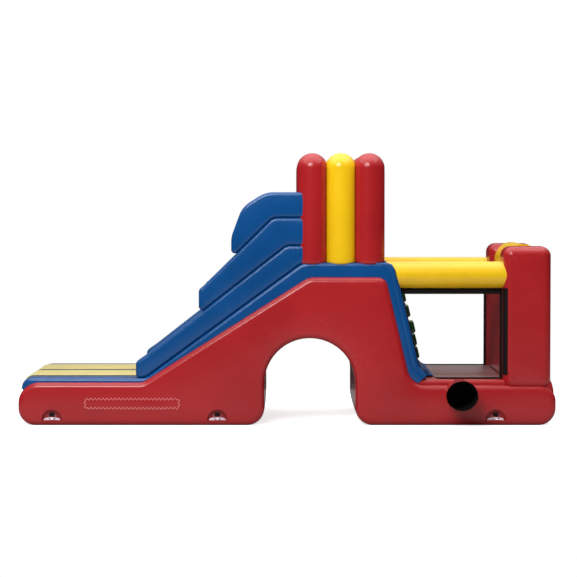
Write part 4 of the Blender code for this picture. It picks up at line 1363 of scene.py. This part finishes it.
bar_x = sum(pillar_x) / 2
for side_name, side in SIDES.items():
    y = side * (HALF_WIDTH - RAIL_INSET)
    start = (climb_x(RAIL_HEIGHT, BED_CLIMB), y, RAIL_HEIGHT)
    end = (bar_x, y, RAIL_HEIGHT)
    tube(f"rail_{side_name}", start, end, RAIL_RADIUS, YELLOW, [f"side_rail_{side_name}"], bed_edge)
bar_ends = [(bar_x, side * between / 2, END_WALL_TOP + END_TUBE_RADIUS) for side in (-1, 1)]
tube("top_bar", *bar_ends, END_TUBE_RADIUS, YELLOW, ["end_tube"])
print("rails run at", RAIL_HEIGHT, "m")

# %% [markdown]
# ## Webbing
#
# The window is edged with a flat black hem, black cloth on the pillar's rim beside it is painted shade where
# the rim turns from the light, and each anchor ring hangs in a folded loop. A hem is a closed line drawn
# twice,
# once along each edge. A loop is a ribbon: a path in the YZ plane with a width along X and a thickness.

# %% Window hems
HEM_THICKNESS = 0.004
HEM_TOP = 0.055
HEM_SIDE = 0.028
HEM_FOOT = 0.016
HEM_BEND = 0.13
HEM_START = 0.040
HEM_LEAF = 0.010
HEM_WAVE = 0.0018
SHARP_CORNER = 0.001


def window_line(low, high, right, inset):
    """The window's edge, anticlockwise from its upper corner, moved off the bed on the climb's side."""
    x, z = bed_toe()
    knee_x, knee_z = toe_knee()
    return [
        (climb_x(high, BED_CLIMB + inset), high, SHARP_CORNER),
        (knee_x + inset, knee_z + 0.4 * inset, BED_TOE_FILLET - inset),
        (x + (z - low) / BED_TOE_FALL + 0.6 * inset, low, HEM_BEND),
        (right, low, SHARP_CORNER),
        (right, high, SHARP_CORNER),
    ]


def closed_pair(lines):
    """Closed lines of corners drawn with the same number of points, each from the middle of its last side."""
    looped = []
    for line in lines:
        middle = ((line[0][0] + line[-1][0]) / 2, (line[0][1] + line[-1][1]) / 2, 0)
        looped.append([middle, *line, middle])
    return [points[:-1] for points in matched_lines(looped)]


def add_hem(side_name, side):
    """A flat ring of webbing round the window; its inner edge waves a little."""
    floor = BASE_HEIGHT + FLOOR_THICKNESS
    top = RAIL_HEIGHT - RAIL_RADIUS
    outer = window_line(floor, top, PILLAR_START_X, HEM_START)
    inner = window_line(floor + HEM_FOOT, top - HEM_TOP, PILLAR_START_X - HEM_SIDE, HEM_START + HEM_LEAF)
    outer, inner = closed_pair([outer, inner])
    rows = []
    for edge, way, wave in ((outer, -1, 0.0), (outer, 1, 0.0), (inner, 1, HEM_WAVE), (inner, -1, HEM_WAVE)):
        y = side * (HALF_WIDTH - RAIL_INSET) + way * HEM_THICKNESS / 2
        rows.append([(x, y + wave * noise.noise((2.5 * x, side, 2.5 * z)), z) for x, z in edge])
    verts, rings = stacked(rows)
    faces = bridge(rings + [rings[0]])
    return add_piece(f"hem_{side_name}", verts, faces, BLACK, [f"window_hem_{side_name}"], sharp=30.0)


print("hems:", [add_hem(*pair).name for pair in SIDES.items()])

# %% Ribbons
def ribbon(name, path, thickness, low_x, high_x, finish, stands_for, steps_across=2):
    """A strip of cloth along a path (y, z), from one X to another."""
    line = np.array(path)
    into = np.gradient(line, axis=0)
    into /= np.linalg.norm(into, axis=1)[:, None]
    normal = np.stack([-into[:, 1], into[:, 0]], axis=1)
    xs = np.linspace(low_x, high_x, steps_across + 1)
    rows = []
    for point, out in zip(line, normal * thickness / 2):
        rows.append([(x, *(point - out)) for x in xs] + [(x, *(point + out)) for x in reversed(xs)])
    verts, rings = stacked(rows)
    return add_piece(name, verts, capped(rings), finish, stands_for, sharp=30.0)


TAB_WIDTH = 0.045
TAB_THICKNESS = 0.0022
RING_HEIGHT = 0.096
RING_Y = 0.978
LOOP_RADIUS = 0.0062
TAB_BACK = HALF_WIDTH - NICHE_DEPTH + 0.0018
TAB_FRONT = TAB_BACK + 1.3 * TAB_THICKNESS


def add_tab(number, x, side):
    """Webbing down the niche's back wall, round the ring's bar and up again."""
    path = [(TAB_BACK, 0.023), (TAB_BACK, 0.012)]
    for turn in np.radians(np.linspace(172, 472, 22)):
        path.append((RING_Y + LOOP_RADIUS * math.cos(turn), LOOP_RADIUS * math.sin(turn)))
    path += [(TAB_FRONT, 0.010), (TAB_FRONT, 0.022)]
    path = [(side * y, RING_HEIGHT + rise) for y, rise in path]
    ends = (x - TAB_WIDTH / 2, x + TAB_WIDTH / 2)
    return ribbon(f"loop_{number}", path, TAB_THICKNESS, *ends, BLACK, [f"anchor_tab_{number}"])


print("loops:", [add_tab(*anchor).name for anchor in anchors()])

# %% Pale plates behind the rings, as painted highlight
PLATE_WIDTH = 0.155
PLATE_HEIGHT = 0.026
PLATE_PROUD = 0.0008
PLATE_SINK = 0.002


def add_plate(number, x, side):
    """A pale crescent on the niche's back wall, under the ring's bar: painted highlight of the niche's lower
    lip.
    """
    wall = HALF_WIDTH - NICHE_DEPTH
    crescent = half_round(x, PLATE_WIDTH, PLATE_HEIGHT, power=0.7)
    verts, faces = prism(crescent, side * (wall - PLATE_SINK), side * (wall + PLATE_PROUD))
    return add_piece(f"lip_highlight_plate_{number}", verts, faces, LIP_HIGHLIGHT, sharp=30.0)


print("plates:", [add_plate(*anchor).name for anchor in anchors()])

# %% Strips of painted shade over the pillars' rims
STRIP_LOW = 0.470
STRIP_HIGH = 1.275
STRIP_PROUD = 0.0035
STRIP_SINK = 0.004
STRIP_WAVE = 0.0008


def add_strip(side_name, side):
    """Black cloth on the pillar's rim beside the window: painted shade where the rim turns from the light."""
    turns = np.radians(np.linspace(-20, 57, 12))
    middle_x = PILLAR_START_X + PILLAR_RIM
    middle_y = HALF_WIDTH - PILLAR_RIM
    rows = []
    for z in np.linspace(STRIP_LOW, STRIP_HIGH, 24):
        row = []
        for radius, order in ((PILLAR_RIM + STRIP_PROUD, turns), (PILLAR_RIM - STRIP_SINK, turns[::-1])):
            for turn in order:
                r = radius + STRIP_WAVE * noise.noise((9 * z, turn, side))
                row.append((middle_x - r * math.cos(turn), side * (middle_y + r * math.sin(turn)), z))
        rows.append(row)
    verts, rings = stacked(rows)
    return add_piece(f"rim_shade_strip_{side_name}", verts, capped(rings), BLACK, sharp=30.0)


print("strips:", [add_strip(*pair).name for pair in SIDES.items()])

# %% [markdown]
# ## The inflation sleeve
#
# The sleeve isn't kept tight by air: it is a plain cloth tube, to be tied round the pipe
# that the air comes from. Its wall is drawn twice, outside and inside, and the inside is painted near-black
# as painted shade for the tube's dark depth. Slow noise along it gives the slack cloth its ripples, and a
# doubled hem stiffens the mouth.

# %% Inflation sleeve
SLEEVE_HEIGHT = 0.304
SLEEVE_RADIUS = 0.140
SLEEVE_ROOT = -0.930
SLEEVE_MOUTH = -1.340
SLEEVE_STEPS = 72
SLEEVE_HEM = 0.030
SLEEVE_SEAM = 0.0010
SLOW_RIPPLE = 0.005
FINE_RIPPLE = 0.002
CLOTH = 0.0016


def sleeve_ring(y, radius):
    """The sleeve's outline at one distance, a little flattened, with the slack cloth's ripples."""
    share = (y - SLEEVE_ROOT) / (SLEEVE_MOUTH - SLEEVE_ROOT)
    slack = math.sin(math.pi * min(max(share, 0.0), 1.0)) + 0.35 * share
    ring = []
    wide = 0.90 + 0.13 * share
    tall = 0.90 + 0.07 * share
    for k in range(SLEEVE_STEPS):
        turn = 2 * math.pi * k / SLEEVE_STEPS
        wave = noise.noise((2.1 * math.cos(turn), 2.1 * math.sin(turn), 9.0 * y))
        fine = noise.noise((5.0 * math.cos(turn), 5.0 * math.sin(turn), 2.0 * y + 5.0))
        r = radius + slack * (SLOW_RIPPLE * wave + FINE_RIPPLE * fine)
        ring.append((SLEEVE_X + r * wide * math.cos(turn), y, SLEEVE_HEIGHT + r * tall * math.sin(turn)))
    return ring


def add_sleeve():
    """Both faces of the cloth in one closed mesh, with the hem and its seam at the mouth."""
    ys = np.linspace(SLEEVE_ROOT, SLEEVE_MOUTH, 30)
    outside = []
    for y in ys:
        to_mouth = y - SLEEVE_MOUTH
        hem = CLOTH if to_mouth < SLEEVE_HEM else 0.0
        seam = SLEEVE_SEAM * math.exp(-(((to_mouth - SLEEVE_HEM) / 0.006) ** 2))
        outside.append(sleeve_ring(y, SLEEVE_RADIUS + hem - seam))
    inside = [sleeve_ring(y, SLEEVE_RADIUS - CLOTH) for y in ys[::-1]]
    verts, rings = stacked(outside + inside)
    sleeve = add_piece("sleeve_cloth", verts, bridge(rings + [rings[0]]), RED, ["inflation_sleeve"])
    sleeve.data.materials.append(SLEEVE_SHADE.material)
    first_inside = rings[len(outside)][0]
    for face in sleeve.data.polygons:
        if min(face.vertices) >= first_inside - SLEEVE_STEPS and max(face.vertices) >= first_inside:
            face.material_index = 1
    return sleeve


def add_sleeve_back():
    """The ring that closes the sleeve's root round the port, near-black as painted shade."""
    y = -HALF_WIDTH - 0.010
    outer = sleeve_ring(y, SLEEVE_RADIUS - CLOTH / 2)
    inner = [(x, y, z) for x, z in round_line(SLEEVE_X, PORT_HEIGHT, PORT_RADIUS, SLEEVE_STEPS)]
    rows = []
    for line, shift in ((outer, 0.0), (inner, 0.0), (inner, CLOTH), (outer, CLOTH)):
        rows.append([(x, y + shift, z) for x, y, z in line])
    verts, rings = stacked(rows)
    return add_piece("sleeve_back", verts, bridge(rings + [rings[0]]), SLEEVE_SHADE, sharp=30.0)


print("the sleeve has", len(add_sleeve().data.polygons), "faces;", add_sleeve_back().name, "closes its root")

# %% [markdown]
# ## The zip and its flap
#
# Air is let out through a long zip. Its flap is red cloth edged with a zigzag of pale thread. The zigzag is
# real geometry, one thin tube that runs round all four sides, because a bump that small would vanish at
# this distance. The slider keeps the model's own solid and only changes its finish.

# %% Zip tape and teeth
ZIP_TAPE_Y = -HALF_WIDTH + POCKET_DEPTH - 0.0013
ZIP_MARGIN = 0.001
TEETH_MARGIN = 0.01
TOOTH_PITCH = 0.005
TOOTH_SHIFT = 0.0016


def add_zip_tape():
    """The tape on the pocket's floor, a little wavy across its width."""
    half = POCKET_LENGTH / 2 - ZIP_MARGIN
    reach = POCKET_HEIGHT / 2 - ZIP_MARGIN
    path = []
    for z in np.linspace(-reach, reach, 9):
        path.append((ZIP_TAPE_Y - 0.0004 * math.cos(3 * math.pi * z / POCKET_HEIGHT), ZIP_HEIGHT + z))
    return ribbon("zip_cloth", path, CLOTH, ZIP_X - half, ZIP_X + half, BLACK, ["zip_tape"], steps_across=40)


def add_teeth():
    """Two rows of small blocks that mesh along the middle of the tape."""
    verts = []
    faces = []
    count = int((POCKET_LENGTH - 2 * TEETH_MARGIN) / TOOTH_PITCH)
    for k in range(2 * count):
        x = ZIP_X - POCKET_LENGTH / 2 + TEETH_MARGIN + k * TOOTH_PITCH / 2
        z = ZIP_HEIGHT + (TOOTH_SHIFT if k % 2 else -TOOTH_SHIFT)
        first = len(verts)
        for out, wide, tall in ((0.0, 0.0011, 0.0032), (0.0022, 0.0008, 0.0026)):
            for dx, dz in ((-1, -1), (1, -1), (1, 1), (-1, 1)):
                verts.append((x + dx * wide, ZIP_TAPE_Y - 0.0008 - out, z + dz * tall))
        for f in ((0, 1, 2, 3), (4, 5, 6, 7), (0, 1, 5, 4), (1, 2, 6, 5), (2, 3, 7, 6), (3, 0, 4, 7)):
            faces.append(tuple(first + i for i in f))
    return add_piece("zip_teeth", verts, faces, STEEL, sharp=30.0)


def dress(node, finish):
    """Keeps the model's own solid and gives it a finish."""
    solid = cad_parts[node]
    solid.data.materials.clear()
    solid.data.materials.append(finish.material)
    return solid


add_zip_tape()
add_teeth()
dress("zip_slider", STEEL)
for number, _, _ in anchors():
    dress(f"anchor_ring_{number}", STEEL)
print("the zip has teeth every", TOOTH_PITCH, "m")

# %% Cover flap
FLAP_LENGTH = 0.897
FLAP_HEIGHT = 0.112
FLAP_TOP = ZIP_HEIGHT + FLAP_HEIGHT / 2
FLAP_CLOTH = 0.0018
STITCH_PITCH = 0.037
STITCH_SPAN = 0.021
STITCH_INSET = 0.0135
THREAD_RADIUS = 0.0030
FLAP_GAP = 0.0008
FLAP_PUFF = 0.0012
FLAP_WAVE = 0.0010
STITCH_DEPTH = 0.0006


def face_bulge(z):
    """How far the red body's side stands out beside the zip."""
    return crowned(BODY_CROWN, CROWN_REACH, min(z - RIM, BASE_HEIGHT - RIM - z))


def flap_surface(u, v):
    """Y of the flap's outer face at a share of its length and of its height, drawn in along the stitching."""
    edge = min(u * FLAP_LENGTH, (1 - u) * FLAP_LENGTH, v * FLAP_HEIGHT, (1 - v) * FLAP_HEIGHT)
    z = FLAP_TOP - (1 - v) * FLAP_HEIGHT
    puff = FLAP_PUFF * min(1.0, max(0.0, edge - STITCH_INSET) / 0.02)
    wave = FLAP_WAVE * noise.noise((9 * u, 2 * v, 0.3)) * min(1.0, edge / 0.02)
    drawn = STITCH_DEPTH * math.exp(-(((edge - STITCH_INSET) / 0.004) ** 2))
    return -HALF_WIDTH - face_bulge(z) - FLAP_GAP - FLAP_CLOTH - puff - wave + drawn


def on_flap(u, v, lift=0.0):
    """The point at shares u and v of the flap's length and height, so far behind its outer face."""
    x = ZIP_X + (u - 0.5) * FLAP_LENGTH
    return (x, flap_surface(u, v) + lift, FLAP_TOP - (1 - v) * FLAP_HEIGHT)


def add_flap(long=150, tall=26):
    """A sheet with an outer and an inner face, joined round its edge."""
    verts = []
    for lift in (0.0, FLAP_CLOTH):
        for j in range(tall + 1):
            verts += [on_flap(i / long, j / tall, lift) for i in range(long + 1)]
    row = long + 1
    sheet = row * (tall + 1)
    faces = []
    for j in range(tall):
        for i in range(long):
            a = j * row + i
            faces.append((a, a + 1, a + row + 1, a + row))
            faces.append((sheet + a, sheet + a + row, sheet + a + row + 1, sheet + a + 1))
    rim = list(range(row)) + [j * row + long for j in range(1, tall + 1)]
    rim += [tall * row + i for i in range(long - 1, -1, -1)] + [j * row for j in range(tall - 1, 0, -1)]
    for a, b in zip(rim, rim[1:] + rim[:1]):
        faces.append((a, b, sheet + b, sheet + a))
    return add_piece("flap_cloth", verts, faces, RED, ["zip_flap"], body="flap", sharp=40.0)


def zigzag_points():
    """The thread's corners round the flap, in shares of its length and height."""
    size = np.array([FLAP_LENGTH, FLAP_HEIGHT])
    low = STITCH_INSET / size
    high = 1 - low
    reach = STITCH_SPAN / 2 / size
    corners = [(low[0], high[1]), (high[0], high[1]), (high[0], low[1]), (low[0], low[1])]
    points = []
    for side, outwards in enumerate(((0, 1), (1, 0), (0, -1), (-1, 0))):
        start = np.array(corners[side])
        end = np.array(corners[(side + 1) % 4])
        length = np.abs((end - start) * size).sum()
        count = max(2, round(length / (STITCH_PITCH / 2)))
        for k in range(count):
            swing = 1 if k % 2 else -1
            points.append(tuple(start + (end - start) * k / count + swing * reach * outwards))
    return points


def add_stitching():
    """A six-sided thread along the zigzag, just proud of the flap."""
    corners = zigzag_points()
    spots = []
    for (u0, v0), (u1, v1) in zip(corners, corners[1:] + corners[:1]):
        for share in (0.02, 0.5, 0.98):
            spot = on_flap(u0 + (u1 - u0) * share, v0 + (v1 - v0) * share, -0.4 * THREAD_RADIUS)
            spots.append(Vector(spot))
    rows = []
    for k, spot in enumerate(spots):
        ahead = (spots[(k + 1) % len(spots)] - spots[k - 1]).normalized()
        side = ahead.cross(Vector((0, 1, 0))).normalized()
        row = []
        for turn in np.radians(range(0, 360, 60)):
            out = side * math.cos(turn) + Vector((0, -1, 0)) * math.sin(turn)
            row.append(tuple(spot + out * THREAD_RADIUS))
        rows.append(row)
    verts, rings = stacked(rows)
    return add_piece("flap_stitching", verts, bridge(rings + [rings[0]]), THREAD, body="flap")


flap = add_flap()
stitching = add_stitching()
print("the zigzag has", len(zigzag_points()), "corners")

# %% [markdown]
# ## The studio
#
# The camera has a long lens, stands a little above head height and looks square at the side. A wide soft
# light overhead and another one in front, up to the left, give the glossy rims their long highlights. Floor
# and sky are white to the camera alone: light and reflections meet a grey floor and a dim sky, which keep
# the colours deep.

# %% Camera
CAMERA_X = 0.014 - ORIGIN_X
CAMERA_DISTANCE = 20.65
CAMERA_HEIGHT = 2.075
CAMERA_LENS = 139.3
CAMERA_TILT = math.radians(2.221)


def add_camera():
    data = bpy.data.cameras.new("camera")
    data.lens = CAMERA_LENS
    data.sensor_width = 36.0
    data.clip_end = 200.0
    camera = placed("camera", data)
    camera.location = (CAMERA_X, -HALF_WIDTH - CAMERA_DISTANCE, CAMERA_HEIGHT)
    camera.rotation_euler = (math.pi / 2 - CAMERA_TILT, 0, 0)
    bpy.context.scene.camera = camera
    return camera


print("camera at", tuple(round(c, 2) for c in add_camera().location))

# %% Floor
FLOOR_HALF_WIDTH = 9.0
FLOOR_NEAR = -8.6
FLOOR_FAR = 3.0
FLOOR_GLOW = 0.75
FLOOR_GREY = 0.50


def split_for_camera(nodes, others, seen, surface):
    """One shader for what the camera sees itself, and another for light and reflections."""
    rays = nodes.node("ShaderNodeLightPath", output="Is Camera Ray")
    nodes.feed(surface, nodes.node("ShaderNodeMixShader", inputs={0: rays, 1: others, 2: seen}))


def floor_material():
    """Pale with a faint glow of its own, so that it runs into the white behind without an edge."""
    made = Finish("pale_floor", None)
    made.set(Base_Color=(0.92, 0.92, 0.92, 1), Roughness=1.0, Specular_IOR_Level=0.0)
    made.set(Emission_Color=(1, 1, 1, 1), Emission_Strength=FLOOR_GLOW)
    bounce = made.node("ShaderNodeBsdfDiffuse", inputs={"Color": (FLOOR_GREY, FLOOR_GREY, FLOOR_GREY, 1)})
    seen = Socket(made.tree, made.shader.outputs[0])
    split_for_camera(made, bounce, seen, made.tree.nodes["Material Output"].inputs["Surface"])
    return made.material


def add_floor():
    mesh = bpy.data.meshes.new("studio_floor")
    corners = rectangle(-FLOOR_HALF_WIDTH, FLOOR_HALF_WIDTH, FLOOR_NEAR, FLOOR_FAR, 0)
    mesh.from_pydata(corners, [], [(0, 1, 2, 3)])
    mesh.materials.append(floor_material())
    floor = placed("studio_floor", mesh)
    return floor


print("the floor is", round(add_floor().dimensions.x), "m wide")

# %% Sky and lights
SKY_LOW = 0.20
SKY_HIGH = 0.75


def add_sky(top, side, behind):
    """Brighter overhead than at the sides, brightest high up behind, and plain white to the camera."""
    world = bpy.data.worlds.new("studio_sky")
    bpy.context.scene.world = world
    world.use_nodes = True
    sky = Nodes(world.node_tree)
    ways = {0: sky.node("ShaderNodeTexCoord", output="Generated")}
    up = sky.node("ShaderNodeSeparateXYZ", inputs=ways, output="Z")
    away = sky.node("ShaderNodeSeparateXYZ", inputs=ways, output="Y")
    stops = [(0.15, (side, side, side)), (0.90, (top, top, top))]
    overhead = sky.node("ShaderNodeValToRGB", {"stops": stops}, {"Fac": up})
    limits = {"Value": up, "From Min": SKY_LOW, "From Max": SKY_HIGH}
    high = sky.node("ShaderNodeMapRange", {"interpolation_type": "SMOOTHSTEP"}, limits)
    light = sky.tree.nodes["Background"]
    sky.feed(light.inputs["Color"], overhead + behind * away.join("MAXIMUM", away, 0.0) * high)
    seen = sky.node("ShaderNodeBackground", inputs={"Color": (1, 1, 1, 1)})
    surface = sky.tree.nodes["World Output"].inputs["Surface"]
    split_for_camera(sky, Socket(sky.tree, light.outputs[0]), seen, surface)


def add_light(name, location, size, power):
    """A soft rectangular light, aimed at the slide's middle."""
    data = bpy.data.lights.new(name, "AREA")
    data.shape = "RECTANGLE"
    data.size, data.size_y = size
    data.energy = power
    light = placed(name, data)
    light.location = location
    light.rotation_euler = (MIDDLE - light.location).to_track_quat("-Z", "Y").to_euler()
    return light


MIDDLE = Vector((-ORIGIN_X, 0.0, 0.9))
add_sky(top=0.50, side=0.03, behind=1.90)
lights = [add_light("overhead", (-ORIGIN_X, -1.2, 6.0), (9.0, 4.0), 300.0)]
lights.append(add_light("front", (-ORIGIN_X - 3.0, -11.0, 8.5), (6.0, 4.0), 1200.0))
bpy.context.scene.view_settings.view_transform = "Standard"
print("lights:", [light.name for light in lights])
